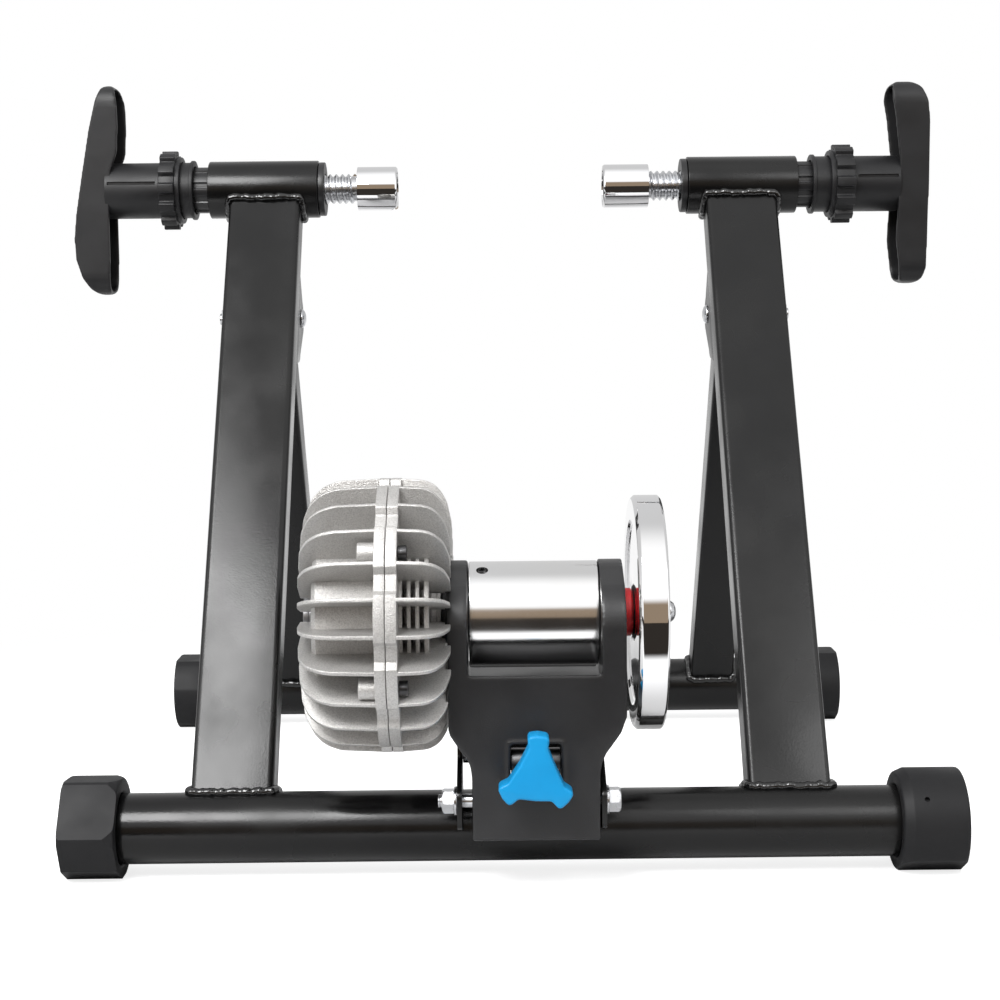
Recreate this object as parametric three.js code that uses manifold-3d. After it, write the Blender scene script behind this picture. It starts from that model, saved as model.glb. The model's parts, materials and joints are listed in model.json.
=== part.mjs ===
import * as THREE from "three";
import { mergeVertices } from "three/addons/utils/BufferGeometryUtils.js";
import Module from "manifold-3d";

// Rear-wheel bicycle trainer with a fluid resistance unit, in millimetres.
// X runs across the machine, Y from the rider's rear to the front, Z up from the floor.
// The origin is on the floor, midway across and midway from rear to front.

const wasm = await Module();
wasm.setup();

// Shared clearances
const SEAT = 0.3; // between two pieces that rest on each other
const RUNNING = 0.5; // between a turning piece and what it turns in
const OVERRUN = 5; // how far a cut runs past the face it opens
const ROOTED = 1; // how far an added form reaches into what it grows from

// Foot tubes, one at the rear and one on the folding front leg
const TUBE_R = 21.2;
const TUBE_WALL = 2;
const TUBE_HEIGHT = 29;
const STANCE = 414;
const HALF_WIDTH = 270;

// Foot caps, eccentric so that turning one levels the machine
const CAP_R = 33;
const CAP_LENGTH = 39;
const CAP_END_WALL = 4.5;
const CAP_TAPER_LENGTH = 6;
const CAP_TAPER_DROP = 2.6;
const CAP_EDGE = 2.2;
const CAP_TOP_FLAT = 32.6;
const CAP_LOW_FLAT = 30;
const CAP_HIGH_FLAT = 31;
const CAP_FLAT_TURN = 30; // degrees above and below level that the two side flats face

// Uprights: rectangular tubes that lean from the rear foot tube to the clamp sleeves
const UPRIGHT_X = 168;
const UPRIGHT_WIDTH = 50;
const UPRIGHT_DEPTH = 25;
const UPRIGHT_WALL = 1.8;
const UPRIGHT_CORNER = 3;
const LEAN = 32; // degrees forward of vertical
const AXLE_HEIGHT = 425.1;
const WELD_LEG = 4.2; // how far a weld bead climbs the square tube
const WELD_OUT = 3; // how far it stands out from the square tube

// Clamp sleeves and the bushes that guide the clamp screws
const SLEEVE_R = 20.1;
const SLEEVE_BORE_R = 17;
const SLEEVE_INNER_X = 131;
const SLEEVE_LENGTH = 77.5;
const INNER_FLANGE_R = 18.9;
const INNER_FLANGE_THICK = 4.3;
const INNER_BUSH_DEPTH = 26;
const OUTER_BUSH_R = 16.2;
const OUTER_BUSH_SHOWS = 10.5;
const OUTER_BUSH_IN_STEM = 8;
const OUTER_BUSH_DEPTH = 30;
const OUTER_BUSH_SPLINES = 10;
const SPLINE_DEPTH = 1;
const SPLINE_SHARE = 0.55;

// Clamp screws, cups and handles; each cup grips one end of the wheel's skewer
const SCREW_R = 10.5;
const SCREW_PITCH = 4.4;
const THREAD_DEPTH = 1.7;
const THREAD_TURNS = 8;
const SCREW_NECK_R = 6;
const SCREW_NECK_LENGTH = 8;
const SCREW_END_IN_STEM = 44; // from the stem's mouth to the screw's outer end
const SCREW_BORE_R = 11;
const CUP_R = 15.3;
const CUP_BACK_X = 103.5;
const LEFT_CUP_LENGTH = 28.3;
const RIGHT_CUP_LENGTH = 32.3;
const CUP_CHAMFER = 1.6;
const CUP_BORE_R = 13.2;
const CUP_BORE_DEPTH = 17;
const CUP_NOTCH_R = 5.2;
const LINER_WALL = 2.6;
const LINER_FLOOR = 3;
const LINER_INSET = 0.8;
const STEM_R = 19.6;
const STEM_BORE_R = 17;
const STEM_BORE_DEPTH = 34;
const STEM_LIP = 1.3;
const STEM_LIP_LENGTH = 2.5;
const STEM_SLOT_HEIGHT = 2.4;
const STEM_SLOT_RISE = 3;
const STEM_SLOT_DEPTH = 1.8;
const STEM_SLOT_GAP = 3;
const STEM_LENGTH = 62;
const STEM_CORE_R = 14.5;
const GRIP_X = 268; // innermost reach of a grip
const GRIP_WIDTH = 34;
const GRIP_WALL = 2.8;
const GRIP_FLAT = 4; // flat left between a grip end's two corner arcs
const LEFT_GRIP_DEPTH = 37.5;
const LEFT_GRIP_HEIGHT = 147;
const RIGHT_GRIP_DEPTH = 37.5;
const RIGHT_GRIP_HEIGHT = 142;
const LOCK_RING_R = 27.6;
const LOCK_RING_ROOT_R = 24.6;
const LOCK_RING_BORE_R = 20.1;
const LOCK_RING_FLANGE_R = 23.4;
const LOCK_RING_FLANGE = 3.2;
const LOCK_RING_TEETH = 12;
const LOCK_RING_TOOTH_DEGREES = 13;
const LEFT_LOCK_X = 228;
const LEFT_LOCK_LENGTH = 14;
const RIGHT_LOCK_X = 231.6;
const RIGHT_LOCK_LENGTH = 16;

// Grip outlines as shares of depth (from the inner reach outward) and of height (from the axis)
const LEFT_GRIP_OUTER_SHARES = [
  [0.4, 0.499],
  [0.52, 0.42],
  [0.66, 0.28],
  [0.83, 0.055],
  [0.95, -0.115],
  [1, -0.23],
  [0.98, -0.33],
  [0.87, -0.417],
  [0.72, -0.473],
  [0.57, -0.5],
];
const LEFT_GRIP_INNER_SHARES = [
  [0.32, -0.5],
  [0.3, -0.32],
  [0.3, -0.13],
  [0.24, 0.09],
  [0.11, 0.18],
  [0.08, 0.3],
  [0.09, 0.42],
  [0.17, 0.499],
];
const RIGHT_GRIP_OUTER_SHARES = [
  [0.62, 0.5],
  [0.83, 0.47],
  [0.96, 0.4],
  [1, 0.3],
  [0.99, 0.0],
  [0.96, -0.28],
  [0.95, -0.42],
  [0.88, -0.48],
  [0.75, -0.5],
];
const RIGHT_GRIP_INNER_SHARES = [
  [0.4, -0.5],
  [0.36, -0.4],
  [0.3, -0.28],
  [0.34, -0.12],
  [0.37, 0.12],
  [0.33, 0.2],
  [0.27, 0.33],
  [0.2, 0.42],
  [0.24, 0.5],
];

// Fold joint between each upright and the front leg
const FOLD_DROP = 89.4; // along the upright, from the sleeve's axis
const FOLD_OUT = 30; // in front of the upright's centre line
const BRACKET_PLATE = 3;
const BRACKET_INSET = 0.5;
const BRACKET_LOBE_R = 15;
const BRACKET_LOWER_LOBE_R = 11;
const BRACKET_LOWER_DROP = 28;
const BRACKET_LOWER_OUT = 22;
const BRACKET_HEEL = 10;
const BRACKET_LOWER_ARC = [-75, 0]; // degrees
const BRACKET_UPPER_ARC = [-10, 85];
const FOLD_BOLT_R = 4;
const FOLD_HEAD_R = 6.7;
const FOLD_HEAD_THICK = 2.8;
const FOLD_NUT_FLATS = 13;
const FOLD_NUT_THICK = 6.5;
const FOLD_BOLT_SHOWS = 1.5;

// Front leg: two rectangular tubes welded to the front foot tube
const LEG_X = 167;
const LEG_WIDTH = 34;
const LEG_DEPTH = 25;
const LEG_WALL = 1.8;
const LEG_BARREL_R = 12.5;

// Roller yoke: a cast arm that hangs on the pivot bolt behind the rear foot tube
const YOKE_LEFT_X = -35.7;
const LEFT_ARM = 11.5;
const RIGHT_ARM = 14;
const ROLLER_UP = 130.5; // above the rear foot tube's axis
const ROLLER_SETBACK = 10; // behind the rear foot tube's axis
const ROLLER_R = 30.7;
const ROLLER_LENGTH = 75.5;
const ARM_HEAD_R = 31.5;
const ARM_HEAD_ARC = [-20, 200]; // degrees
const YOKE_PIVOT_BACK = 39; // behind the rear foot tube's axis
const YOKE_PIVOT_UP = 25.3; // above the rear foot tube's axis
const YOKE_BACK = 55; // rear face, behind the rear foot tube's axis
const YOKE_FOOT_UP = 5.5; // lower edge, above the rear foot tube's axis
const YOKE_FRONT = 27.5; // front of the side walls, behind the rear foot tube's axis
const YOKE_WALL = 5;
const ROLLER_ROOM = 2.3; // between the roller and the shelf under it
const NECK_INSET_LEFT = 13.1;
const NECK_INSET_RIGHT = 15.5;
const NECK_TOP_UP = 77;
const NECK_FOOT_UP = 42;
const LEFT_NECK_SHARES = [
  [0, 0.2],
  [0.06, 0.28],
  [0.53, 0.55],
  [0.79, 0.66],
  [0.95, 0.82],
  [1, 1],
];
const RIGHT_NECK_SHARES = [
  [0, 0],
  [0.09, 0.1],
  [0.2, 0.25],
  [0.445, 0.405],
  [0.77, 0.6],
  [0.94, 0.77],
  [1, 1],
];
const ARM_FRONT_OUT = 12; // front of the shelf, ahead of the rear foot tube's axis
const WALL_SHOULDER_UP = 64;
const HUB_BOSS_R = 17.3;
const HUB_BOSS = 3.9;
const ARM_POCKET_WIDTH = 5.5;
const ARM_POCKET_HEIGHT = 8;
const ARM_POCKET_DEPTH = 6;
const ARM_POCKET_DROP = 15;

// Pressure adjuster: knob, rod, saddle in the yoke's window and crossbar between the ears
const WINDOW_WIDTH = 29;
const WINDOW_TOP_UP = 62;
const WINDOW_FOOT_UP = 36;
const WINDOW_RIM = 1.8;
const WINDOW_RIM_PROUD = 0.8;
const SADDLE_BACK = 45; // saddle axis, behind the rear foot tube's axis
const ADJUSTER_UP = 49.5; // saddle, rod and crossbar, above the rear foot tube's axis
const SADDLE_R = 8;
const SADDLE_PIN_R = 4.6;
const SADDLE_PIN_LENGTH = 6;
const CRADLE_TOP = 10;
const CRADLE_FRONT = 5.5;
const CRADLE_FOOT = 18;
const CROSSBAR_BACK = 15;
const CROSSBAR_R = 7.5;
const CROSSBAR_PIN_R = 5;
const ROD_R = 3;
const ROD_BORE_R = 3.7;
const ROD_PAST_CROSSBAR = 6;
const ROD_IN_KNOB = 9;
const KNOB_GAP = 10.5; // from the yoke's rear face to the knob
const KNOB_THICK = 15;
const KNOB_R = 23;
const KNOB_LOBES = 3;
const KNOB_TIP_WIDTH = 12;
const KNOB_TIP_CORNER_SHARE = 0.97;
const KNOB_FLANK_SHARE = 0.66;
const KNOB_FLANK_WIDTH = 10.6;
const KNOB_WAIST_R = 10.2;
const KNOB_TURN = -3; // degrees, where it stands at rest
const KNOB_HUB_R = 7;

// Ears welded to the rear foot tube, and the yoke's pivot bolt
const EAR_THICK = 3;
const EAR_LEFT_GAP = 5.9;
const EAR_RIGHT_GAP = 1;
const EAR_BACK = 54;
const EAR_FOOT_UP = 8;
const EAR_SHOULDER_UP = 33;
const EAR_CROWN_UP = 59.5;
const EAR_CROWN_BACK = 22.5;
const EAR_WAIST_BACK = 24.5;
const EAR_WAIST_UP = 46.5;
const EAR_FRONT = 5;
const EAR_CORNER = 5;
const PIVOT_BOLT_R = 4;
const PIVOT_FLATS = 13;
const PIVOT_HEAD_THICK = 6.6;
const PIVOT_NUT_THICK = 6.8;
const PIVOT_THREAD_SHOWS = 1.2;
const PIVOT_WASHER_R = 8.4;
const PIVOT_WASHER_THICK = 1.4;

// Shaft, roller and flywheel
const SHAFT_R = 5;
const SHAFT_ROOM = 2.5; // round the shaft, in the yoke's arms
const BEARING_R = 13;
const BEARING_THICK = 8;
const ROLLER_SHELL = 3.6;
const ROLLER_WEB = 14;
const ROLLER_HUB_R = 11;
const ROLLER_EDGE = 0.8;
const GRUB_IN_FROM_END = 8;
const GRUB_LEAN = 26; // degrees to the rear of straight up
const GRUB_R = 3.2;
const GRUB_LENGTH = 6;
const COLLAR_R = 14.2;
const COLLAR_LENGTH = 5;
const FLYWHEEL_R = 69;
const FLYWHEEL_THICK = 17;
const FLYWHEEL_EDGE = 3.6;
const FLYWHEEL_RIM = 14;
const FLYWHEEL_WEB = 7;
const FLYWHEEL_HUB_R = 15;
const FLYWHEEL_FLARE = 3;
const DOME_NUT_FLATS = 15;
const DOME_NUT_HEX = 2.6;
const DOME_NUT_DOME = 3.4;
const DOME_SHOULDER_SHARE = 0.75;

// Fluid unit: two finned castings bolted together at the parting plane
const PARTING = 33.3; // from the yoke's left face to the parting plane
const FIN_COUNT = 24;
const FIN_R = 80.5;
const FIN_THICK = 2.3;
const FIN_ROOT = 2; // how deep a fin's root lies in what it grows from
const LEFT_FIN_REACH = 51.4;
const RIGHT_FIN_REACH = 35.3;
const LEFT_FIN_FOOT_R = 30;
const RIGHT_FIN_FOOT_R = 36;
const LEFT_FIN_SHARES = [
  [0.59, 0.985],
  [0.76, 0.945],
  [0.89, 0.87],
  [0.97, 0.75],
  [1, 0.58],
];
const RIGHT_FIN_SHARES = [
  [0.6, 0.985],
  [0.78, 0.94],
  [0.92, 0.84],
  [1, 0.68],
];
const LUG_RISE = 4.2; // how far the lugs, as high as the fins, stand above the flange's rim
const FLANGE_LUGS = 12;
const FLANGE_LUG_DEGREES = 19.6;
const FLANGE_LUG_TURN = 22.5; // degrees, so that each lug carries a pair of fins
const LEFT_FLANGE = 6.4;
const RIGHT_FLANGE = 6.6;
const LEFT_FIN_HEIGHT = 24.5;
const LEFT_DRUM_LENGTH = 40.5;
const LEFT_DRUM_CONE = 2.5;
const LEFT_DRUM_EDGE = 3;
const LEFT_DRUM_WALL = 6;
const CHAMBER_DEPTH = 36;
const RIGHT_FIN_HEIGHT = 25.5;
const RIGHT_DRUM_LENGTH = 23.4;
const RING_GROOVE = 2.6;
const RING_GROOVE_DEPTH = 11;
const RING_GROOVE_STARTS = [8.4, 13.2, 18.1];
const RIGHT_NECK_R = 18;
const SEAL_POCKET_R = 9;
const SEAL_POCKET_DEPTH = 7;
const YOKE_CLEARANCE = 1.3;
const BOLT_CIRCLE_INSET = 7.5;
const CASE_BOLT_ANGLES = [53, 115, 233, 295]; // degrees from straight up
const CASE_BOLT_R = 2.5;
const CASE_BOLT_HEAD_R = 4.3;
const CASE_BOLT_HEAD = 5;
const CASE_SOCKET_R = 2;
const CASE_BOLT_IN_BOSS = 10;
const BOLT_BOSS_R = 5.3;
const BOLT_BOSS = 15.8;
const PLUG_R = 11.5;
const PLUG_THICK = 8.4;
const PLUG_SHANK_R = 4;
const PLUG_SHANK = 7.5;
const IMPELLER_ROOM = 5; // round the impeller, in its chamber
const IMPELLER_DISC = 3;
const IMPELLER_WIDTH = 26;
const IMPELLER_HUB_R = 9;
const IMPELLER_BLADES = 8;
const IMPELLER_BLADE = 2.4;
const IMPELLER_SETBACK = 7;

// Side counts of the round pieces
const TUBE_SIDES = 24;
const CAP_SIDES = 20;
const ROLLER_SIDES = 28;
const WHEEL_SIDES = 36;
const CASE_SIDES = 20;
const SMALL_SIDES = 12;
const SCREW_SIDES = 10;
const BOLT_SIDES = 8;
const LUG_STEPS = 2;
const HEX = 6;

// Places that follow from the sizes above
const REAR_TUBE_Y = (ROLLER_SETBACK + FIN_R - STANCE - CAP_R) / 2;
const FRONT_TUBE_Y = REAR_TUBE_Y + STANCE;
const LEAN_RADIANS = THREE.MathUtils.degToRad(LEAN);
const UPRIGHT_LENGTH = (AXLE_HEIGHT - TUBE_HEIGHT) / Math.cos(LEAN_RADIANS);
const AXLE_Y = REAR_TUBE_Y + UPRIGHT_LENGTH * Math.sin(LEAN_RADIANS);
const FOLD_ALONG = UPRIGHT_LENGTH - FOLD_DROP;
const FOLD_Y =
  REAR_TUBE_Y + FOLD_ALONG * Math.sin(LEAN_RADIANS) + FOLD_OUT * Math.cos(LEAN_RADIANS);
const FOLD_Z =
  TUBE_HEIGHT + FOLD_ALONG * Math.cos(LEAN_RADIANS) - FOLD_OUT * Math.sin(LEAN_RADIANS);
const LEG_LENGTH = Math.hypot(FRONT_TUBE_Y - FOLD_Y, FOLD_Z - TUBE_HEIGHT);
const LEG_LEAN = Math.atan2(FRONT_TUBE_Y - FOLD_Y, FOLD_Z - TUBE_HEIGHT);
const BRACKET_OUTER_HALF = UPRIGHT_WIDTH / 2 - BRACKET_INSET;
const BRACKET_INNER_HALF = BRACKET_OUTER_HALF - BRACKET_PLATE;

const SLEEVE_OUTER_X = SLEEVE_INNER_X + SLEEVE_LENGTH;
const STEM_X = SLEEVE_OUTER_X + OUTER_BUSH_SHOWS;

const LEFT_ARM_INNER_X = YOKE_LEFT_X + LEFT_ARM;
const ROLLER_X = LEFT_ARM_INNER_X + RUNNING;
const RIGHT_ARM_INNER_X = ROLLER_X + ROLLER_LENGTH + RUNNING;
const YOKE_RIGHT_X = RIGHT_ARM_INNER_X + RIGHT_ARM;
const COLLAR_X = YOKE_RIGHT_X + SEAT;
const FLYWHEEL_X = COLLAR_X + COLLAR_LENGTH + SEAT;
const FLYWHEEL_OUTER_X = FLYWHEEL_X + FLYWHEEL_THICK;
const NECK_LEFT_X = YOKE_LEFT_X + NECK_INSET_LEFT;
const NECK_RIGHT_X = YOKE_RIGHT_X - NECK_INSET_RIGHT;
const NECK_MIDDLE_X = (NECK_LEFT_X + NECK_RIGHT_X) / 2;
const LEFT_EAR_X = NECK_LEFT_X - EAR_LEFT_GAP - EAR_THICK;
const RIGHT_EAR_X = NECK_RIGHT_X + EAR_RIGHT_GAP;
const YOKE_LEDGE_UP = ROLLER_UP - ROLLER_R - ROLLER_ROOM;
const PARTING_X = YOKE_LEFT_X - PARTING;
const FLANGE_ROOT_R = FIN_R - LUG_RISE;
const BOLT_CIRCLE_R = FIN_R - BOLT_CIRCLE_INSET;
const LEFT_DRUM_R = FIN_R - LEFT_FIN_HEIGHT;
const LEFT_DRUM_FACE_R = LEFT_DRUM_R - LEFT_DRUM_EDGE;
const CHAMBER_R = LEFT_DRUM_R - LEFT_DRUM_WALL;
const IMPELLER_R = CHAMBER_R - IMPELLER_ROOM;
const RIGHT_DRUM_R = FIN_R - RIGHT_FIN_HEIGHT;
const RING_GROOVE_R = RIGHT_DRUM_R - RING_GROOVE_DEPTH;
const RIGHT_NECK_LENGTH = PARTING - HUB_BOSS - SEAT;
const LEFT_FACE = LEFT_DRUM_LENGTH + LEFT_DRUM_CONE;

// Solids from outlines. An outline is a list of pairs, closed by itself.
const toVector = ([a, b]) => new THREE.Vector2(a, b);
const TO_X = new THREE.Matrix4().set(0, 0, 1, 0, 1, 0, 0, 0, 0, 1, 0, 0, 0, 0, 0, 1);
const TO_Y = new THREE.Matrix4().set(1, 0, 0, 0, 0, 0, -1, 0, 0, 1, 0, 0, 0, 0, 0, 1);
const SPIN_TO_X = new THREE.Matrix4().set(0, 1, 0, 0, 0, 0, 1, 0, 1, 0, 0, 0, 0, 0, 0, 1);
const SPIN_TO_Z = new THREE.Matrix4().set(0, 0, 1, 0, 1, 0, 0, 0, 0, 1, 0, 0, 0, 0, 0, 1);

// A solid that can be joined and cut, from a closed three.js geometry
function solidOf(geometry) {
  const bare = geometry.index ? geometry.toNonIndexed() : geometry;
  bare.deleteAttribute("normal");
  bare.deleteAttribute("uv");
  const merged = mergeVertices(bare);
  const faces = [];
  const corners = merged.index.array;
  for (let i = 0; i < corners.length; i += 3) {
    const [a, b, c] = [corners[i], corners[i + 1], corners[i + 2]];
    if (a !== b && b !== c && a !== c) faces.push([a, b, c]);
  }
  const vertProperties = new Float32Array(merged.attributes.position.array);
  const build = (list) => {
    const triVerts = new Uint32Array(list.flat());
    return new wasm.Manifold(new wasm.Mesh({ numProp: 3, vertProperties, triVerts }));
  };
  const made = build(faces);
  return made.volume() < 0 ? build(faces.map(([a, b, c]) => [a, c, b])) : made;
}

// The geometry of a finished solid, with flat faces
function geometryOf(solid) {
  const mesh = solid.getMesh();
  const positions = new Float32Array(mesh.numVert * 3);
  for (let i = 0; i < mesh.numVert; i++) {
    positions.set(mesh.vertProperties.subarray(i * mesh.numProp, i * mesh.numProp + 3), i * 3);
  }
  const indexed = new THREE.BufferGeometry();
  indexed.setAttribute("position", new THREE.BufferAttribute(positions, 3));
  indexed.setIndex(new THREE.BufferAttribute(mesh.triVerts, 1));
  const flat = indexed.toNonIndexed();
  flat.computeVertexNormals();
  return flat;
}

function extrude(outline, length, holes) {
  const shape = new THREE.Shape(outline.map(toVector));
  shape.holes = holes.map((hole) => new THREE.Path(hole.map(toVector)));
  return new THREE.ExtrudeGeometry(shape, { depth: length, bevelEnabled: false, steps: 1 });
}

// Prisms along X from a (Y, Z) outline, along Y from an (X, Z) one and along Z from an (X, Y) one
function prismX(outline, from, to, holes = []) {
  return solidOf(extrude(outline, to - from, holes).applyMatrix4(TO_X)).translate([from, 0, 0]);
}

function prismY(outline, from, to, holes = []) {
  return solidOf(extrude(outline, to - from, holes).applyMatrix4(TO_Y)).translate([0, to, 0]);
}

function prismZ(outline, from, to, holes = []) {
  return solidOf(extrude(outline, to - from, holes)).translate([0, 0, from]);
}

// A turned profile of [along, radius] pairs, which closes on itself unless it ends on the axis
function turned(profile, sides) {
  const onAxis = profile[0][1] === 0 && profile.at(-1)[1] === 0;
  const path = onAxis ? profile : [...profile, profile[0]];
  return new THREE.LatheGeometry(
    path.map(([along, radius]) => new THREE.Vector2(radius, along)),
    sides,
  );
}

const turnX = (profile, sides) => solidOf(turned(profile, sides).applyMatrix4(SPIN_TO_X));
const turnY = (profile, sides) => solidOf(turned(profile, sides));
const turnZ = (profile, sides) => solidOf(turned(profile, sides).applyMatrix4(SPIN_TO_Z));

const rodProfile = (from, to, radius) => [
  [from, 0],
  [from, radius],
  [to, radius],
  [to, 0],
];
const pipeProfile = (from, to, outer, inner) => [
  [from, inner],
  [from, outer],
  [to, outer],
  [to, inner],
];
const rodX = (from, to, radius, sides) => turnX(rodProfile(from, to, radius), sides);
const rodY = (from, to, radius, sides) => turnY(rodProfile(from, to, radius), sides);
const pipeX = (from, to, outer, inner, sides) => turnX(pipeProfile(from, to, outer, inner), sides);

const joined = (solids) => solids.reduce((all, next) => all.add(next));
const cutBy = (solid, cuts) => cuts.reduce((left, cut) => left.subtract(cut), solid);
const mirrored = (solid) => solid.mirror([1, 0, 0]);

function rectangle(left, low, right, high) {
  return [
    [left, low],
    [right, low],
    [right, high],
    [left, high],
  ];
}

// Points of an arc between two angles in degrees
function arc(centre, radius, from, to, steps) {
  return Array.from({ length: steps + 1 }, (_, i) => {
    const angle = THREE.MathUtils.degToRad(from + ((to - from) * i) / steps);
    return [centre[0] + radius * Math.cos(angle), centre[1] + radius * Math.sin(angle)];
  });
}

const circle = (centre, radius, sides) => arc(centre, radius, 0, 360, sides).slice(0, -1);

// An outline with each corner replaced by an arc of its radius
function rounded(corners, radius, steps) {
  return corners.flatMap((corner, i) => {
    const here = toVector(corner);
    const back = toVector(corners.at(i - 1)).sub(here).normalize();
    const ahead = toVector(corners[(i + 1) % corners.length]).sub(here).normalize();
    const half = Math.acos(back.dot(ahead)) / 2;
    const middle = back.clone().add(ahead).normalize();
    const centre = here.clone().addScaledVector(middle, radius / Math.sin(half));
    const first = back.multiplyScalar(radius / Math.tan(half)).add(here).sub(centre);
    const last = ahead.multiplyScalar(radius / Math.tan(half)).add(here).sub(centre);
    const start = first.angle();
    let sweep = last.angle() - start;
    if (sweep > Math.PI) sweep -= 2 * Math.PI;
    if (sweep < -Math.PI) sweep += 2 * Math.PI;
    return Array.from({ length: steps + 1 }, (_, k) => {
      const angle = start + (sweep * k) / steps;
      return [centre.x + radius * Math.cos(angle), centre.y + radius * Math.sin(angle)];
    });
  });
}

const grown = (w, d, by) => rectangle(-w / 2 - by, -d / 2 - by, w / 2 + by, d / 2 + by);

// A hexagon's outline with two flats upright, across-flats size given
const hexagon = (flats) => circle([0, 0], flats / 2 / Math.cos(Math.PI / HEX), HEX);

// Foot tubes and caps, about the tube's axis
function footTube() {
  const end = HALF_WIDTH - CAP_END_WALL - SEAT;
  return pipeX(-end, end, TUBE_R, TUBE_R - TUBE_WALL, TUBE_SIDES);
}

function footCap() {
  const mouth = HALF_WIDTH - CAP_LENGTH;
  const body = turnX(
    [
      [mouth, 0],
      [mouth, CAP_R - CAP_TAPER_DROP],
      [mouth + CAP_TAPER_LENGTH, CAP_R],
      [HALF_WIDTH - CAP_EDGE, CAP_R],
      [HALF_WIDTH, CAP_R - CAP_EDGE],
      [HALF_WIDTH, 0],
    ],
    CAP_SIDES,
  );
  const flatCut = (distance, degrees) =>
    prismX(
      rectangle(distance, -CAP_R - OVERRUN, distance + CAP_R, CAP_R + OVERRUN),
      mouth - OVERRUN,
      HALF_WIDTH + OVERRUN,
    ).rotate([degrees, 0, 0]);
  const socket = rodX(
    mouth - OVERRUN,
    HALF_WIDTH - CAP_END_WALL,
    TUBE_R + SEAT,
    TUBE_SIDES,
  );
  return cutBy(body, [
    flatCut(TUBE_HEIGHT, -90),
    flatCut(CAP_LOW_FLAT, -CAP_FLAT_TURN),
    flatCut(CAP_HIGH_FLAT, CAP_FLAT_TURN),
    flatCut(CAP_TOP_FLAT, 90),
    socket,
  ]);
}

// A rectangular tube along Z, and the weld bead round its foot where it stands on a round tube
function boxTube(width, depth, wall, corner, from, to) {
  const bore = grown(width, depth, -wall);
  return prismZ(rounded(grown(width, depth, 0), corner, 2), from, to, [bore]);
}

function weldBead(width, depth, wall, tubeR) {
  const reach = tubeR + WELD_LEG + OVERRUN;
  const bore = grown(width, depth, -wall);
  return prismZ(rounded(grown(width, depth, WELD_OUT), WELD_OUT, 1), 0, reach, [bore]).intersect(
    rodX(-width, width, tubeR + WELD_LEG, TUBE_SIDES),
  );
}

// Right-hand upright along Z, with the rear foot tube's axis at its foot
function upright() {
  const round = (radius) => rodX(-UPRIGHT_WIDTH, UPRIGHT_WIDTH, radius + SEAT, TUBE_SIDES);
  const bead = (radius) => weldBead(UPRIGHT_WIDTH, UPRIGHT_DEPTH, UPRIGHT_WALL, radius);
  const tube = boxTube(
    UPRIGHT_WIDTH,
    UPRIGHT_DEPTH,
    UPRIGHT_WALL,
    UPRIGHT_CORNER,
    0,
    UPRIGHT_LENGTH,
  );
  const topBead = bead(SLEEVE_R).mirror([0, 0, 1]).translate([0, 0, UPRIGHT_LENGTH]);
  const sleeveCut = round(SLEEVE_R).translate([0, 0, UPRIGHT_LENGTH]);
  return cutBy(joined([tube, bead(TUBE_R), topBead]), [round(TUBE_R), sleeveCut]).translate([
    UPRIGHT_X,
    0,
    0,
  ]);
}

// Right-hand clamp pieces about the sleeve's axis, X outward
const sleeve = () =>
  pipeX(SLEEVE_INNER_X, SLEEVE_OUTER_X, SLEEVE_R, SLEEVE_BORE_R, TUBE_SIDES);

function innerBush() {
  const face = SLEEVE_INNER_X - SEAT;
  return turnX(
    [
      [face - INNER_FLANGE_THICK, SCREW_BORE_R],
      [face - INNER_FLANGE_THICK, INNER_FLANGE_R],
      [face, INNER_FLANGE_R],
      [face, SLEEVE_BORE_R - SEAT],
      [SLEEVE_INNER_X + INNER_BUSH_DEPTH, SLEEVE_BORE_R - SEAT],
      [SLEEVE_INNER_X + INNER_BUSH_DEPTH, SCREW_BORE_R],
    ],
    SMALL_SIDES,
  );
}

function outerBush() {
  const step = 360 / OUTER_BUSH_SPLINES;
  const outline = Array.from({ length: OUTER_BUSH_SPLINES }, (_, i) => [
    ...arc([0, 0], OUTER_BUSH_R, i * step, (i + SPLINE_SHARE) * step, 1),
    ...arc([0, 0], OUTER_BUSH_R - SPLINE_DEPTH, (i + SPLINE_SHARE) * step, (i + 1) * step, 1),
  ]).flat();
  return prismX(
    outline,
    SLEEVE_OUTER_X - OUTER_BUSH_DEPTH,
    STEM_X + OUTER_BUSH_IN_STEM,
    [circle([0, 0], SCREW_BORE_R, SMALL_SIDES)],
  );
}

function clampScrew() {
  const start = CUP_BACK_X + SEAT;
  const end = STEM_X + SCREW_END_IN_STEM;
  const thread = Array.from({ length: THREAD_TURNS }, (_, i) => [
    [start + i * SCREW_PITCH, SCREW_R - THREAD_DEPTH],
    [start + (i + 0.5) * SCREW_PITCH, SCREW_R],
  ]).flat();
  const threadEnd = start + THREAD_TURNS * SCREW_PITCH;
  return turnX(
    [
      [CUP_BACK_X - SCREW_NECK_LENGTH, 0],
      [CUP_BACK_X - SCREW_NECK_LENGTH, SCREW_NECK_R],
      [start, SCREW_NECK_R],
      ...thread,
      [threadEnd, SCREW_R - THREAD_DEPTH],
      [threadEnd + THREAD_DEPTH, SCREW_R],
      [end, SCREW_R],
      [end, 0],
    ],
    SCREW_SIDES,
  );
}

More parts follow.
